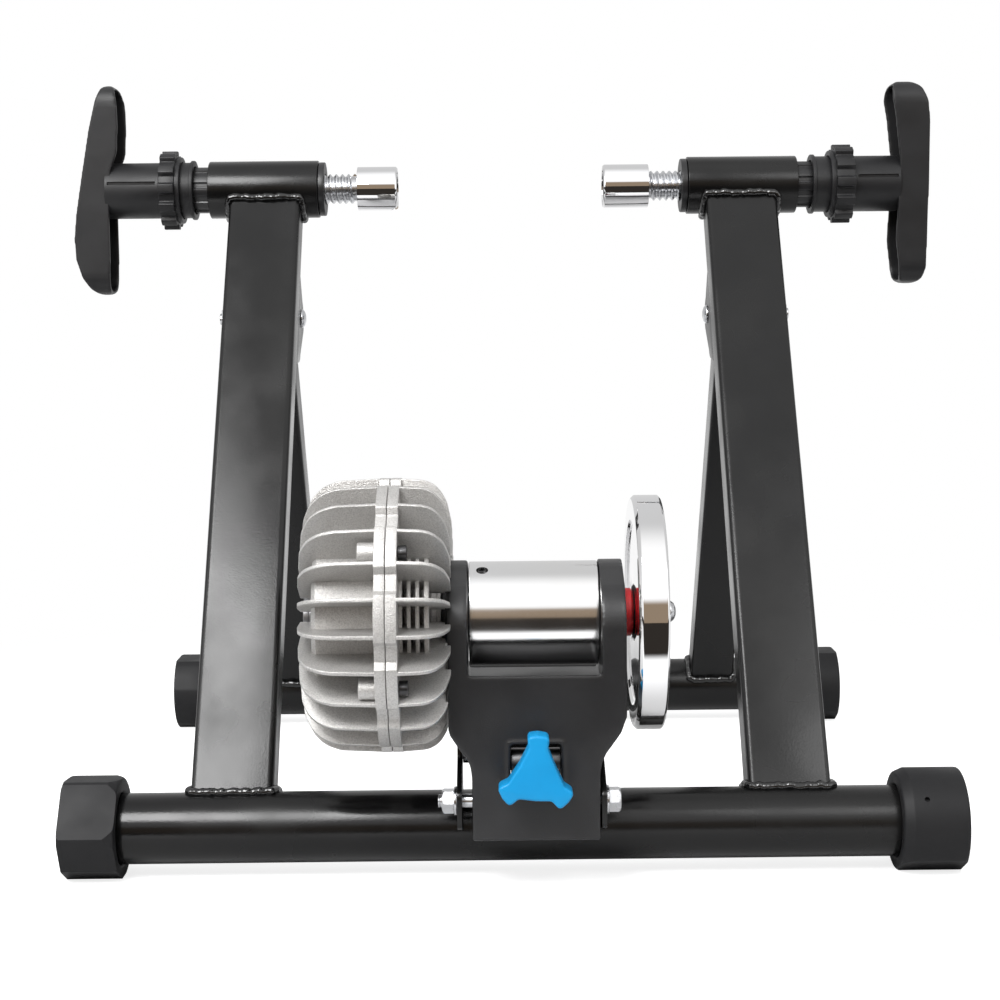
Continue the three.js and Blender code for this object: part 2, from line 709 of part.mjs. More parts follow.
function clampCup(length, notched) {
  const mouth = CUP_BACK_X - length;
  const pocket = CUP_BACK_X - SCREW_NECK_LENGTH - SEAT;
  const floor = mouth + CUP_BORE_DEPTH;
  const cup = turnX(
    [
      [floor, 0],
      [floor, CUP_BORE_R],
      [mouth, CUP_BORE_R],
      [mouth, CUP_R - CUP_CHAMFER / 2],
      [mouth + CUP_CHAMFER, CUP_R],
      [CUP_BACK_X, CUP_R],
      [CUP_BACK_X, SCREW_NECK_R + SEAT],
      [pocket, SCREW_NECK_R + SEAT],
      [pocket, 0],
    ],
    TUBE_SIDES,
  );
  const notch = prismZ(circle([mouth, 0], CUP_NOTCH_R, SMALL_SIDES), -CUP_R - OVERRUN, 0);
  return notched ? cup.subtract(notch) : cup;
}

function cupLiner(length) {
  const mouth = CUP_BACK_X - length + LINER_INSET;
  const end = CUP_BACK_X - length + CUP_BORE_DEPTH - SEAT;
  const outer = CUP_BORE_R - SEAT;
  return turnX(
    [
      [end - LINER_FLOOR, 0],
      [end - LINER_FLOOR, outer - LINER_WALL],
      [mouth, outer - LINER_WALL],
      [mouth, outer],
      [end, outer],
      [end, 0],
    ],
    SMALL_SIDES,
  );
}

// A grip is a tall hollow shell, open to the frame, with the stem on its open side
function clampHandle(outerShares, innerShares, depth, height, lockEnd) {
  const place = ([across, up]) => [GRIP_X + across * depth, up * height];
  const block = (outline, width, tall, from) =>
    prismY(outline, -width / 2, width / 2).intersect(
      prismX(
        rounded(grown(width, tall, 0), width / 2 - GRIP_FLAT / 2, 4),
        from,
        GRIP_X + depth + OVERRUN,
      ),
    );
  const body = block(
    [...outerShares, ...innerShares].map(place),
    GRIP_WIDTH,
    height,
    GRIP_X - OVERRUN,
  );
  const inward = (height - 2 * GRIP_WALL) / height;
  const hollowOuter = outerShares
    .map(place)
    .map(([across, up]) => [across - GRIP_WALL, up * inward]);
  const hollow = block(
    [
      ...hollowOuter,
      [GRIP_X - 2 * OVERRUN, hollowOuter.at(-1)[1]],
      [GRIP_X - 2 * OVERRUN, hollowOuter[0][1]],
    ],
    GRIP_WIDTH - 2 * GRIP_WALL,
    height - 2 * GRIP_WALL,
    GRIP_X - 3 * OVERRUN,
  );
  const stemEnd = STEM_X + STEM_LENGTH;
  const stem = turnX(
    [
      [STEM_X, 0],
      [STEM_X, STEM_R + STEM_LIP],
      [STEM_X + STEM_LIP_LENGTH, STEM_R + STEM_LIP],
      [STEM_X + STEM_LIP_LENGTH, STEM_R],
      [stemEnd, STEM_R],
      [stemEnd, 0],
    ],
    CASE_SIDES,
  );
  const core = rodX(stemEnd - OVERRUN, GRIP_X + depth, STEM_CORE_R, SMALL_SIDES).intersect(body);
  const slot = prismX(
    rectangle(
      -STEM_R - OVERRUN,
      STEM_SLOT_RISE,
      STEM_SLOT_DEPTH - STEM_R,
      STEM_SLOT_RISE + STEM_SLOT_HEIGHT,
    ),
    lockEnd + STEM_SLOT_GAP,
    stemEnd,
  );
  const bore = rodX(STEM_X - OVERRUN, STEM_X + STEM_BORE_DEPTH, STEM_BORE_R, CASE_SIDES);
  const seat = rodX(
    STEM_X,
    STEM_X + SCREW_END_IN_STEM + SEAT,
    SCREW_R + SEAT,
    SCREW_SIDES,
  );
  return cutBy(joined([body.subtract(hollow), stem, core]), [slot, bore, seat]);
}

// A ring with finger teeth, and a thin flange on its side toward the frame
function lockRing(start, length) {
  const step = 360 / LOCK_RING_TEETH;
  const half = LOCK_RING_TOOTH_DEGREES / 2;
  const outline = Array.from({ length: LOCK_RING_TEETH }, (_, i) => [
    ...arc([0, 0], LOCK_RING_R, i * step - half, i * step + half, 1),
    ...arc([0, 0], LOCK_RING_ROOT_R, i * step + half, (i + 1) * step - half, 1),
  ]).flat();
  const bore = circle([0, 0], LOCK_RING_BORE_R, CASE_SIDES);
  const teeth = prismX(outline, start + LOCK_RING_FLANGE, start + length, [bore]);
  const flange = prismX(
    circle([0, 0], LOCK_RING_FLANGE_R, CASE_SIDES),
    start,
    start + LOCK_RING_FLANGE + LOCK_RING_FLANGE / 2,
    [bore],
  );
  return teeth.add(flange);
}

// Right-hand fold bracket in the upright's frame: a folded channel with two lobed cheeks
function foldBracket() {
  const back = UPRIGHT_DEPTH / 2 + SEAT;
  const lower = [BRACKET_LOWER_OUT, FOLD_ALONG - BRACKET_LOWER_DROP];
  const top = FOLD_ALONG + BRACKET_LOBE_R + BRACKET_HEEL;
  const foot = lower[1] - BRACKET_LOWER_LOBE_R - BRACKET_HEEL;
  const cheek = [
    [back, top],
    [back, foot],
    ...arc(lower, BRACKET_LOWER_LOBE_R, ...BRACKET_LOWER_ARC, 3),
    ...arc([FOLD_OUT, FOLD_ALONG], BRACKET_LOBE_R, ...BRACKET_UPPER_ARC, 4),
  ];
  const full = prismX(cheek, -BRACKET_OUTER_HALF, BRACKET_OUTER_HALF);
  const channel = prismX(
    rectangle(back + BRACKET_PLATE, foot - OVERRUN, FOLD_OUT + 2 * BRACKET_LOBE_R, top + OVERRUN),
    -BRACKET_INNER_HALF,
    BRACKET_INNER_HALF,
  );
  const hole = rodX(-UPRIGHT_WIDTH, UPRIGHT_WIDTH, FOLD_BOLT_R + SEAT, SMALL_SIDES).translate([
    0,
    FOLD_OUT,
    FOLD_ALONG,
  ]);
  return cutBy(full, [channel, hole]).translate([UPRIGHT_X, 0, 0]);
}

// Fold bolt and its nut about the fold axis; the domed head faces the middle of the machine
function foldBolt() {
  const seat = UPRIGHT_X - BRACKET_OUTER_HALF - SEAT;
  const end = UPRIGHT_X + BRACKET_OUTER_HALF + SEAT + FOLD_NUT_THICK + FOLD_BOLT_SHOWS;
  return turnX(
    [
      [seat - FOLD_HEAD_THICK, 0],
      [seat - FOLD_HEAD_THICK, FOLD_HEAD_R / 2],
      [seat - FOLD_HEAD_THICK / 2, FOLD_HEAD_R],
      [seat, FOLD_HEAD_R],
      [seat, FOLD_BOLT_R],
      [end, FOLD_BOLT_R],
      [end, 0],
    ],
    SMALL_SIDES,
  );
}

function foldNut() {
  const seat = UPRIGHT_X + BRACKET_OUTER_HALF + SEAT;
  return prismX(hexagon(FOLD_NUT_FLATS), seat, seat + FOLD_NUT_THICK, [
    circle([0, 0], FOLD_BOLT_R + SEAT, SMALL_SIDES),
  ]);
}

// Right-hand front leg along Z, with the fold axis at its top
function frontLeg() {
  const half = BRACKET_INNER_HALF - SEAT;
  const tube = boxTube(LEG_WIDTH, LEG_DEPTH, LEG_WALL, UPRIGHT_CORNER, -LEG_LENGTH, 0);
  const bead = weldBead(LEG_WIDTH, LEG_DEPTH, LEG_WALL, TUBE_R).translate([0, 0, -LEG_LENGTH]);
  const barrel = rodX(UPRIGHT_X - half, UPRIGHT_X + half, LEG_BARREL_R, CASE_SIDES);
  const bore = rodX(
    UPRIGHT_X - UPRIGHT_WIDTH,
    UPRIGHT_X + UPRIGHT_WIDTH,
    FOLD_BOLT_R + SEAT,
    SMALL_SIDES,
  );
  const cope = rodX(-LEG_WIDTH, LEG_WIDTH, TUBE_R + SEAT, TUBE_SIDES).translate([
    LEG_X,
    0,
    -LEG_LENGTH,
  ]);
  const welded = joined([tube.add(bead).translate([LEG_X, 0, 0]), barrel]);
  return cutBy(welded, [bore, cope]);
}

// Ear welded to the rear foot tube, in the tube's frame, from its inner X outward
function yokeEar(from) {
  const plate = prismX(
    rounded(
      [
        [-EAR_BACK, EAR_FOOT_UP],
        [-EAR_FRONT, -EAR_FRONT],
        [-EAR_FRONT, EAR_CROWN_UP],
        [-EAR_CROWN_BACK, EAR_CROWN_UP],
        [-EAR_WAIST_BACK, EAR_WAIST_UP],
        [-EAR_BACK, EAR_SHOULDER_UP],
      ],
      EAR_CORNER,
      3,
    ),
    from,
    from + EAR_THICK,
  );
  const through = (radius, back, up) =>
    rodX(from - OVERRUN, from + EAR_THICK + OVERRUN, radius + SEAT, SMALL_SIDES).translate([
      0,
      -back,
      up,
    ]);
  return cutBy(plate, [
    rodX(from - OVERRUN, from + EAR_THICK + OVERRUN, TUBE_R + SEAT, TUBE_SIDES),
    through(PIVOT_BOLT_R, YOKE_PIVOT_BACK, YOKE_PIVOT_UP),
    through(CROSSBAR_PIN_R, CROSSBAR_BACK, ADJUSTER_UP),
  ]);
}

// Crossbar about its own axis: it turns in the ears and takes the adjuster rod
function crossbar() {
  const left = LEFT_EAR_X + EAR_THICK + SEAT;
  const right = RIGHT_EAR_X - SEAT;
  const bar = turnX(
    [
      [LEFT_EAR_X, 0],
      [LEFT_EAR_X, CROSSBAR_PIN_R],
      [left, CROSSBAR_PIN_R],
      [left, CROSSBAR_R],
      [right, CROSSBAR_R],
      [right, CROSSBAR_PIN_R],
      [RIGHT_EAR_X + EAR_THICK, CROSSBAR_PIN_R],
      [RIGHT_EAR_X + EAR_THICK, 0],
    ],
    SMALL_SIDES,
  );
  const hole = rodY(-CROSSBAR_R - OVERRUN, CROSSBAR_R + OVERRUN, ROD_BORE_R, SMALL_SIDES);
  return bar.subtract(hole.translate([NECK_MIDDLE_X, 0, 0]));
}

// Pivot bolt, nut and washers about the pivot axis; the bolt goes in from the right
function pivotBolt() {
  const seat = RIGHT_EAR_X + EAR_THICK + PIVOT_WASHER_THICK + 2 * SEAT;
  const end =
    LEFT_EAR_X - PIVOT_WASHER_THICK - 2 * SEAT - PIVOT_NUT_THICK - PIVOT_THREAD_SHOWS;
  const head = prismX(hexagon(PIVOT_FLATS), seat, seat + PIVOT_HEAD_THICK);
  return head.add(rodX(end, seat + PIVOT_HEAD_THICK / 2, PIVOT_BOLT_R, SMALL_SIDES));
}

function pivotNut() {
  const seat = LEFT_EAR_X - PIVOT_WASHER_THICK - 2 * SEAT;
  return prismX(hexagon(PIVOT_FLATS), seat - PIVOT_NUT_THICK, seat, [
    circle([0, 0], PIVOT_BOLT_R + SEAT, SMALL_SIDES),
  ]);
}

const pivotWasher = (from) =>
  pipeX(from, from + PIVOT_WASHER_THICK, PIVOT_WASHER_R, PIVOT_BOLT_R + SEAT, SMALL_SIDES);

// The yoke's outline from the side, in the rear foot tube's frame, grown where it needs room
function yokeSide(by, steps) {
  return [
    [-YOKE_BACK - by, YOKE_FOOT_UP - by],
    [-YOKE_FRONT + by, YOKE_FOOT_UP - by],
    [-YOKE_FRONT + by, WALL_SHOULDER_UP - by],
    [ARM_FRONT_OUT + by, YOKE_LEDGE_UP - by],
    ...arc([-ROLLER_SETBACK, ROLLER_UP], ARM_HEAD_R + by, ...ARM_HEAD_ARC, steps),
    [-YOKE_BACK - by, YOKE_LEDGE_UP + by],
  ];
}

// The yoke's lower outline from the rear: its foot, its neck and its sides, up to a given height
function yokeLower(inset, top, foot) {
  const at = (share) => NECK_TOP_UP - share * (NECK_TOP_UP - NECK_FOOT_UP);
  const right = RIGHT_NECK_SHARES.map(([across, down]) => [
    YOKE_RIGHT_X - inset - across * NECK_INSET_RIGHT,
    at(down),
  ]);
  const left = LEFT_NECK_SHARES.map(([across, down]) => [
    YOKE_LEFT_X + inset + across * NECK_INSET_LEFT,
    at(down),
  ]);
  return [
    [YOKE_LEFT_X + inset, top],
    ...left,
    [NECK_LEFT_X + inset, foot],
    [NECK_RIGHT_X - inset, foot],
    ...right.reverse(),
    [YOKE_RIGHT_X - inset, top],
  ];
}

// Yoke, in the rear foot tube's frame: a hollow arm, open to the front, with two bearing heads
function yoke() {
  const top = ROLLER_UP + ARM_HEAD_R;
  const front = ARM_FRONT_OUT + ARM_HEAD_R;
  const face = [
    ...yokeLower(0, top, YOKE_FOOT_UP),
    [RIGHT_ARM_INNER_X, top],
    [RIGHT_ARM_INNER_X, YOKE_LEDGE_UP],
    [LEFT_ARM_INNER_X, YOKE_LEDGE_UP],
    [LEFT_ARM_INNER_X, top],
  ];
  const casting = prismY(face, -YOKE_BACK - OVERRUN, front).intersect(
    prismX(yokeSide(0, 12), YOKE_LEFT_X - OVERRUN, YOKE_RIGHT_X + OVERRUN),
  );
  const hollow = prismY(
    yokeLower(YOKE_WALL, YOKE_LEDGE_UP - YOKE_WALL, YOKE_FOOT_UP - OVERRUN),
    YOKE_WALL - YOKE_BACK,
    front,
  );
  const onAxle = (solid) => solid.translate([0, -ROLLER_SETBACK, ROLLER_UP]);
  const boss = onAxle(rodX(YOKE_LEFT_X - HUB_BOSS, YOKE_LEFT_X + ROOTED, HUB_BOSS_R, CASE_SIDES));
  const windowHalf = WINDOW_WIDTH / 2;
  const windowLeft = NECK_MIDDLE_X - windowHalf;
  const windowRight = NECK_MIDDLE_X + windowHalf;
  const windowOutline = (by) =>
    rectangle(
      windowLeft - by,
      WINDOW_FOOT_UP - by,
      windowRight + by,
      WINDOW_TOP_UP + by,
    );
  const rim = prismY(windowOutline(WINDOW_RIM), -YOKE_BACK - WINDOW_RIM_PROUD, ROOTED - YOKE_BACK);
  const cradle = (left) =>
    prismX(
      rectangle(
        YOKE_WALL - YOKE_BACK - ROOTED,
        ADJUSTER_UP - CRADLE_FOOT,
        SADDLE_PIN_R + SEAT + CRADLE_FRONT - SADDLE_BACK,
        ADJUSTER_UP + CRADLE_TOP,
      ),
      left,
      left + SADDLE_PIN_LENGTH + SEAT,
    );
  const seat = SADDLE_PIN_R + SEAT;
  const pinSlot = prismX(
    [
      ...arc([-SADDLE_BACK, ADJUSTER_UP], seat, 0, 180, 6),
      [-SADDLE_BACK - seat, ADJUSTER_UP - CRADLE_FOOT - OVERRUN],
      [-SADDLE_BACK + seat, ADJUSTER_UP - CRADLE_FOOT - OVERRUN],
    ],
    windowLeft - SADDLE_PIN_LENGTH - 2 * SEAT,
    windowRight + SADDLE_PIN_LENGTH + 2 * SEAT,
  );
  const cradles = joined([
    cradle(windowLeft - SADDLE_PIN_LENGTH - SEAT),
    cradle(windowRight),
  ]).subtract(pinSlot);
  const bearingRoom = BEARING_THICK + 2 * SEAT;
  const leftBearing = onAxle(
    rodX(LEFT_ARM_INNER_X - bearingRoom, LEFT_ARM_INNER_X + OVERRUN, BEARING_R + SEAT, CASE_SIDES),
  );
  const rightBearing = onAxle(
    rodX(YOKE_RIGHT_X - bearingRoom, YOKE_RIGHT_X + OVERRUN, BEARING_R + SEAT, CASE_SIDES),
  );
  const shaftWay = onAxle(
    rodX(
      YOKE_LEFT_X - HUB_BOSS - OVERRUN,
      YOKE_RIGHT_X + OVERRUN,
      SHAFT_R + SHAFT_ROOM,
      SMALL_SIDES,
    ),
  );
  const pivotWay = rodX(
    YOKE_LEFT_X,
    YOKE_RIGHT_X,
    PIVOT_BOLT_R + SEAT,
    SMALL_SIDES,
  ).translate([0, -YOKE_PIVOT_BACK, YOKE_PIVOT_UP]);
  const window = prismY(
    windowOutline(0),
    -YOKE_BACK - OVERRUN,
    YOKE_WALL - YOKE_BACK + SEAT,
  );
  const pocketMiddle = ROLLER_UP - ARM_POCKET_DROP;
  const pocket = prismX(
    rectangle(
      -ROLLER_SETBACK - ARM_HEAD_R - OVERRUN,
      pocketMiddle - ARM_POCKET_HEIGHT / 2,
      -ROLLER_SETBACK - ARM_HEAD_R + ARM_POCKET_DEPTH,
      pocketMiddle + ARM_POCKET_HEIGHT / 2,
    ),
    LEFT_ARM_INNER_X - ARM_POCKET_WIDTH,
    LEFT_ARM_INNER_X + OVERRUN,
  );
  const shell = joined([casting.subtract(hollow), boss, rim, cradles]);
  return cutBy(shell, [leftBearing, rightBearing, shaftWay, pivotWay, window, pocket]);
}

// Saddle about its own axis: its pins lie in the yoke's cradles and the rod passes through it
function saddle() {
  const half = WINDOW_WIDTH / 2;
  const barrel = turnX(
    [
      [-half - SADDLE_PIN_LENGTH, 0],
      [-half - SADDLE_PIN_LENGTH, SADDLE_PIN_R],
      [SEAT - half, SADDLE_PIN_R],
      [SEAT - half, SADDLE_R],
      [half - SEAT, SADDLE_R],
      [half - SEAT, SADDLE_PIN_R],
      [half + SADDLE_PIN_LENGTH, SADDLE_PIN_R],
      [half + SADDLE_PIN_LENGTH, 0],
    ],
    SMALL_SIDES,
  );
  return barrel.subtract(rodY(-SADDLE_R - OVERRUN, SADDLE_R + OVERRUN, ROD_R + SEAT, SMALL_SIDES));
}

// Knob and rod along Y, with the saddle's axis at zero
const KNOB_FRONT = SADDLE_BACK - YOKE_BACK - KNOB_GAP;

function knob() {
  const step = 360 / KNOB_LOBES;
  const outline = Array.from({ length: KNOB_LOBES }, (_, i) => {
    const turn = THREE.MathUtils.degToRad(90 + KNOB_TURN + i * step);
    const along = toVector([Math.cos(turn), Math.sin(turn)]);
    const across = toVector([-Math.sin(turn), Math.cos(turn)]);
    const at = (out, side) =>
      along.clone().multiplyScalar(out).addScaledVector(across, side).toArray();
    const corner = KNOB_R * KNOB_TIP_CORNER_SHARE;
    const flank = KNOB_R * KNOB_FLANK_SHARE;
    const waist = THREE.MathUtils.degToRad(90 + KNOB_TURN + (i + 0.5) * step);
    return [
      at(flank, -KNOB_FLANK_WIDTH / 2),
      at(corner, -KNOB_TIP_WIDTH / 2),
      at(KNOB_R, 0),
      at(corner, KNOB_TIP_WIDTH / 2),
      at(flank, KNOB_FLANK_WIDTH / 2),
      [KNOB_WAIST_R * Math.cos(waist), KNOB_WAIST_R * Math.sin(waist)],
    ];
  }).flat();
  const head = prismY(outline, KNOB_FRONT - KNOB_THICK, KNOB_FRONT);
  const hub = rodY(KNOB_FRONT - ROOTED, -SADDLE_R - SEAT, KNOB_HUB_R, SMALL_SIDES);
  const bore = rodY(KNOB_FRONT - ROD_IN_KNOB - SEAT, 0, ROD_R + SEAT, SMALL_SIDES);
  return head.add(hub).subtract(bore);
}

const adjusterRod = () =>
  rodY(
    KNOB_FRONT - ROD_IN_KNOB,
    SADDLE_BACK - CROSSBAR_BACK + CROSSBAR_R + ROD_PAST_CROSSBAR,
    ROD_R,
    SMALL_SIDES,
  );

// Shaft and what turns with it, about the roller's axis
function shaft() {
  const left = PARTING_X - IMPELLER_SETBACK - IMPELLER_WIDTH - SEAT;
  return rodX(left, FLYWHEEL_OUTER_X + DOME_NUT_HEX, SHAFT_R, SMALL_SIDES);
}

const bearing = (from) =>
  pipeX(from, from + BEARING_THICK, BEARING_R, SHAFT_R + SEAT, CASE_SIDES);

const grubWay = (radius, from, to) => {
  const way = turnZ(rodProfile(from, to, radius), SMALL_SIDES);
  return way.rotate([GRUB_LEAN, 0, 0]).translate([ROLLER_X + GRUB_IN_FROM_END, 0, 0]);
};

function roller() {
  const left = ROLLER_X;
  const right = ROLLER_X + ROLLER_LENGTH;
  const inner = ROLLER_R - ROLLER_SHELL;
  const body = turnX(
    [
      [left, SHAFT_R + SEAT],
      [left, ROLLER_R - ROLLER_EDGE],
      [left + ROLLER_EDGE, ROLLER_R],
      [right - ROLLER_EDGE, ROLLER_R],
      [right, ROLLER_R - ROLLER_EDGE],
      [right, inner],
      [left + ROLLER_WEB, inner],
      [left + ROLLER_WEB, ROLLER_HUB_R],
      [right, ROLLER_HUB_R],
      [right, SHAFT_R + SEAT],
    ],
    ROLLER_SIDES,
  );
  return body.subtract(grubWay(GRUB_R + SEAT, SHAFT_R, ROLLER_R + OVERRUN));
}

const grubScrew = () => grubWay(GRUB_R, SHAFT_R + SEAT, SHAFT_R + SEAT + GRUB_LENGTH);

const spacerCollar = () =>
  pipeX(COLLAR_X, COLLAR_X + COLLAR_LENGTH, COLLAR_R, SHAFT_R + SEAT, SMALL_SIDES);

function flywheel() {
  const left = FLYWHEEL_X;
  const right = FLYWHEEL_OUTER_X;
  const middle = (left + right) / 2;
  const rimInner = FLYWHEEL_R - FLYWHEEL_RIM;
  return turnX(
    [
      [left, SHAFT_R + SEAT],
      [left, FLYWHEEL_HUB_R],
      [middle - FLYWHEEL_WEB / 2, FLYWHEEL_HUB_R + FLYWHEEL_FLARE],
      [middle - FLYWHEEL_WEB / 2, rimInner - FLYWHEEL_FLARE],
      [left, rimInner],
      [left, FLYWHEEL_R - FLYWHEEL_EDGE],
      [left + FLYWHEEL_EDGE, FLYWHEEL_R],
      [right - FLYWHEEL_EDGE, FLYWHEEL_R],
      [right, FLYWHEEL_R - FLYWHEEL_EDGE],
      [right, rimInner],
      [middle + FLYWHEEL_WEB / 2, rimInner - FLYWHEEL_FLARE],
      [middle + FLYWHEEL_WEB / 2, FLYWHEEL_HUB_R + FLYWHEEL_FLARE],
      [right, FLYWHEEL_HUB_R],
      [right, SHAFT_R + SEAT],
    ],
    WHEEL_SIDES,
  );
}

function domeNut() {
  const seat = FLYWHEEL_OUTER_X + SEAT;
  const hexEnd = seat + DOME_NUT_HEX;
  const hex = prismX(hexagon(DOME_NUT_FLATS), seat, hexEnd);
  const dome = turnX(
    [
      [hexEnd - ROOTED, 0],
      [hexEnd - ROOTED, DOME_NUT_FLATS / 2],
      [hexEnd, DOME_NUT_FLATS / 2],
      [hexEnd + DOME_NUT_DOME / 2, (DOME_NUT_FLATS / 2) * DOME_SHOULDER_SHARE],
      [hexEnd + DOME_NUT_DOME, 0],
    ],
    SMALL_SIDES,
  );
  const bore = rodX(seat - OVERRUN, hexEnd, SHAFT_R + SEAT, SMALL_SIDES);
  return hex.add(dome).subtract(bore);
}

// Fluid unit: each half is built outward from the parting plane along +X
function finRing(outline) {
  const fin = prismY(outline, -FIN_THICK / 2, FIN_THICK / 2);
  return joined(
    Array.from({ length: FIN_COUNT }, (_, i) => fin.rotate([(i * 360) / FIN_COUNT, 0, 0])),
  );
}

function lugOutline() {
  const step = 360 / FLANGE_LUGS;
  const half = FLANGE_LUG_DEGREES / 2;
  const turn = THREE.MathUtils.degToRad(FLANGE_LUG_TURN);
  return Array.from({ length: FLANGE_LUGS }, (_, i) => [
    ...arc([0, 0], FIN_R, i * step - half, i * step + half, LUG_STEPS),
    ...arc([0, 0], FLANGE_ROOT_R, i * step + half, (i + 1) * step - half, 1),
  ])
    .flat()
    .map((point) => toVector(point).rotateAround(new THREE.Vector2(), turn).toArray());
}

const finEdge = (shares, reach) => shares.map(([out, up]) => [out * reach, up * FIN_R]);

const atCaseBolts = (solid) =>
  CASE_BOLT_ANGLES.map((degrees) => solid.translate([0, 0, BOLT_CIRCLE_R]).rotate([degrees, 0, 0]));

function leftCase() {
  const start = SEAT / 2;
  const root = LEFT_DRUM_R - FIN_ROOT;
  const drum = turnX(
    [
      [start, CHAMBER_R],
      [start, LEFT_DRUM_R],
      [LEFT_DRUM_LENGTH, LEFT_DRUM_R],
      [LEFT_FACE, LEFT_DRUM_FACE_R],
      [LEFT_FACE, PLUG_SHANK_R + SEAT],
      [CHAMBER_DEPTH, PLUG_SHANK_R + SEAT],
      [CHAMBER_DEPTH, CHAMBER_R],
    ],
    FIN_COUNT,
  );
  const fins = finRing([
    [LEFT_FLANGE - FIN_ROOT, root],
    [LEFT_FLANGE - FIN_ROOT, FIN_R],
    ...finEdge(LEFT_FIN_SHARES, LEFT_FIN_REACH),
    [LEFT_FIN_REACH, LEFT_FIN_FOOT_R],
    [LEFT_FACE - FIN_ROOT, LEFT_FIN_FOOT_R],
    [LEFT_FACE - FIN_ROOT, LEFT_DRUM_FACE_R - FIN_ROOT],
    [LEFT_DRUM_LENGTH - FIN_ROOT, root],
  ]);
  const flange = prismX(lugOutline(), start, LEFT_FLANGE, [circle([0, 0], root, FIN_COUNT)]);
  const bosses = atCaseBolts(rodX(LEFT_FLANGE - FIN_ROOT, BOLT_BOSS, BOLT_BOSS_R, BOLT_SIDES));
  const holes = atCaseBolts(
    rodX(-OVERRUN, CASE_BOLT_IN_BOSS + 2 * SEAT, CASE_BOLT_R + SEAT, BOLT_SIDES),
  );
  return cutBy(joined([drum, flange, fins, ...bosses]), holes).mirror([1, 0, 0]);
}

function rightCase() {
  const start = SEAT / 2;
  const root = RING_GROOVE_R - FIN_ROOT;
  const grooves = RING_GROOVE_STARTS.flatMap((from) => [
    [from, RIGHT_DRUM_R],
    [from, RING_GROOVE_R],
    [from + RING_GROOVE, RING_GROOVE_R],
    [from + RING_GROOVE, RIGHT_DRUM_R],
  ]);
  const drum = turnX(
    [
      [start, SHAFT_R + RUNNING],
      [start, RIGHT_DRUM_R],
      ...grooves,
      [RIGHT_DRUM_LENGTH, RIGHT_DRUM_R],
      [RIGHT_DRUM_LENGTH, RIGHT_NECK_R],
      [RIGHT_NECK_LENGTH, RIGHT_NECK_R],
      [RIGHT_NECK_LENGTH, SEAL_POCKET_R],
      [RIGHT_NECK_LENGTH - SEAL_POCKET_DEPTH, SEAL_POCKET_R],
      [RIGHT_NECK_LENGTH - SEAL_POCKET_DEPTH, SHAFT_R + RUNNING],
    ],
    FIN_COUNT,
  );
  const fins = finRing([
    [RIGHT_FLANGE - FIN_ROOT, root],
    [RIGHT_FLANGE - FIN_ROOT, FIN_R],
    ...finEdge(RIGHT_FIN_SHARES, RIGHT_FIN_REACH),
    [RIGHT_FIN_REACH, RIGHT_FIN_FOOT_R],
    [RIGHT_DRUM_LENGTH - FIN_ROOT, RIGHT_FIN_FOOT_R],
    [RIGHT_DRUM_LENGTH - FIN_ROOT, root],
  ]);
  const bore = circle([0, 0], RIGHT_DRUM_R - FIN_ROOT, FIN_COUNT);
  const flange = prismX(lugOutline(), start, RIGHT_FLANGE, [bore]);
  const holes = atCaseBolts(
    rodX(-OVERRUN, RIGHT_FLANGE + OVERRUN, CASE_BOLT_R + SEAT, BOLT_SIDES),
  );
  const yokeRoom = prismX(
    yokeSide(YOKE_CLEARANCE, 2),
    PARTING - YOKE_CLEARANCE,
    RIGHT_FIN_REACH + OVERRUN,
  ).translate([0, ROLLER_SETBACK, -ROLLER_UP]);
  return cutBy(joined([drum, flange, fins]), [...holes, yokeRoom]);
}

// Socket-head bolt of the case, heading toward the left half
function caseBolt() {
  const seat = RIGHT_FLANGE + SEAT;
  return turnX(
    [
      [-CASE_BOLT_IN_BOSS, 0],
      [-CASE_BOLT_IN_BOSS, CASE_BOLT_R],
      [seat, CASE_BOLT_R],
      [seat, CASE_BOLT_HEAD_R],
      [seat + CASE_BOLT_HEAD, CASE_BOLT_HEAD_R],
      [seat + CASE_BOLT_HEAD, CASE_SOCKET_R],
      [seat + CASE_BOLT_HEAD / 2, CASE_SOCKET_R],
      [seat + CASE_BOLT_HEAD / 2, 0],
    ],
    BOLT_SIDES,
  );
}

const fillerPlug = () =>
  turnX(
    [
      [-LEFT_FACE - SEAT - PLUG_THICK, 0],
      [-LEFT_FACE - SEAT - PLUG_THICK, PLUG_R],
      [-LEFT_FACE - SEAT, PLUG_R],
      [-LEFT_FACE - SEAT, PLUG_SHANK_R],
      [-LEFT_FACE - SEAT + PLUG_SHANK, PLUG_SHANK_R],
      [-LEFT_FACE - SEAT + PLUG_SHANK, 0],
    ],
    SMALL_SIDES,
  );

const shaftSeal = () =>
  pipeX(
    RIGHT_NECK_LENGTH - SEAL_POCKET_DEPTH + SEAT,
    RIGHT_NECK_LENGTH,
    SEAL_POCKET_R - SEAT,
    SHAFT_R + RUNNING,
    SMALL_SIDES,
  );

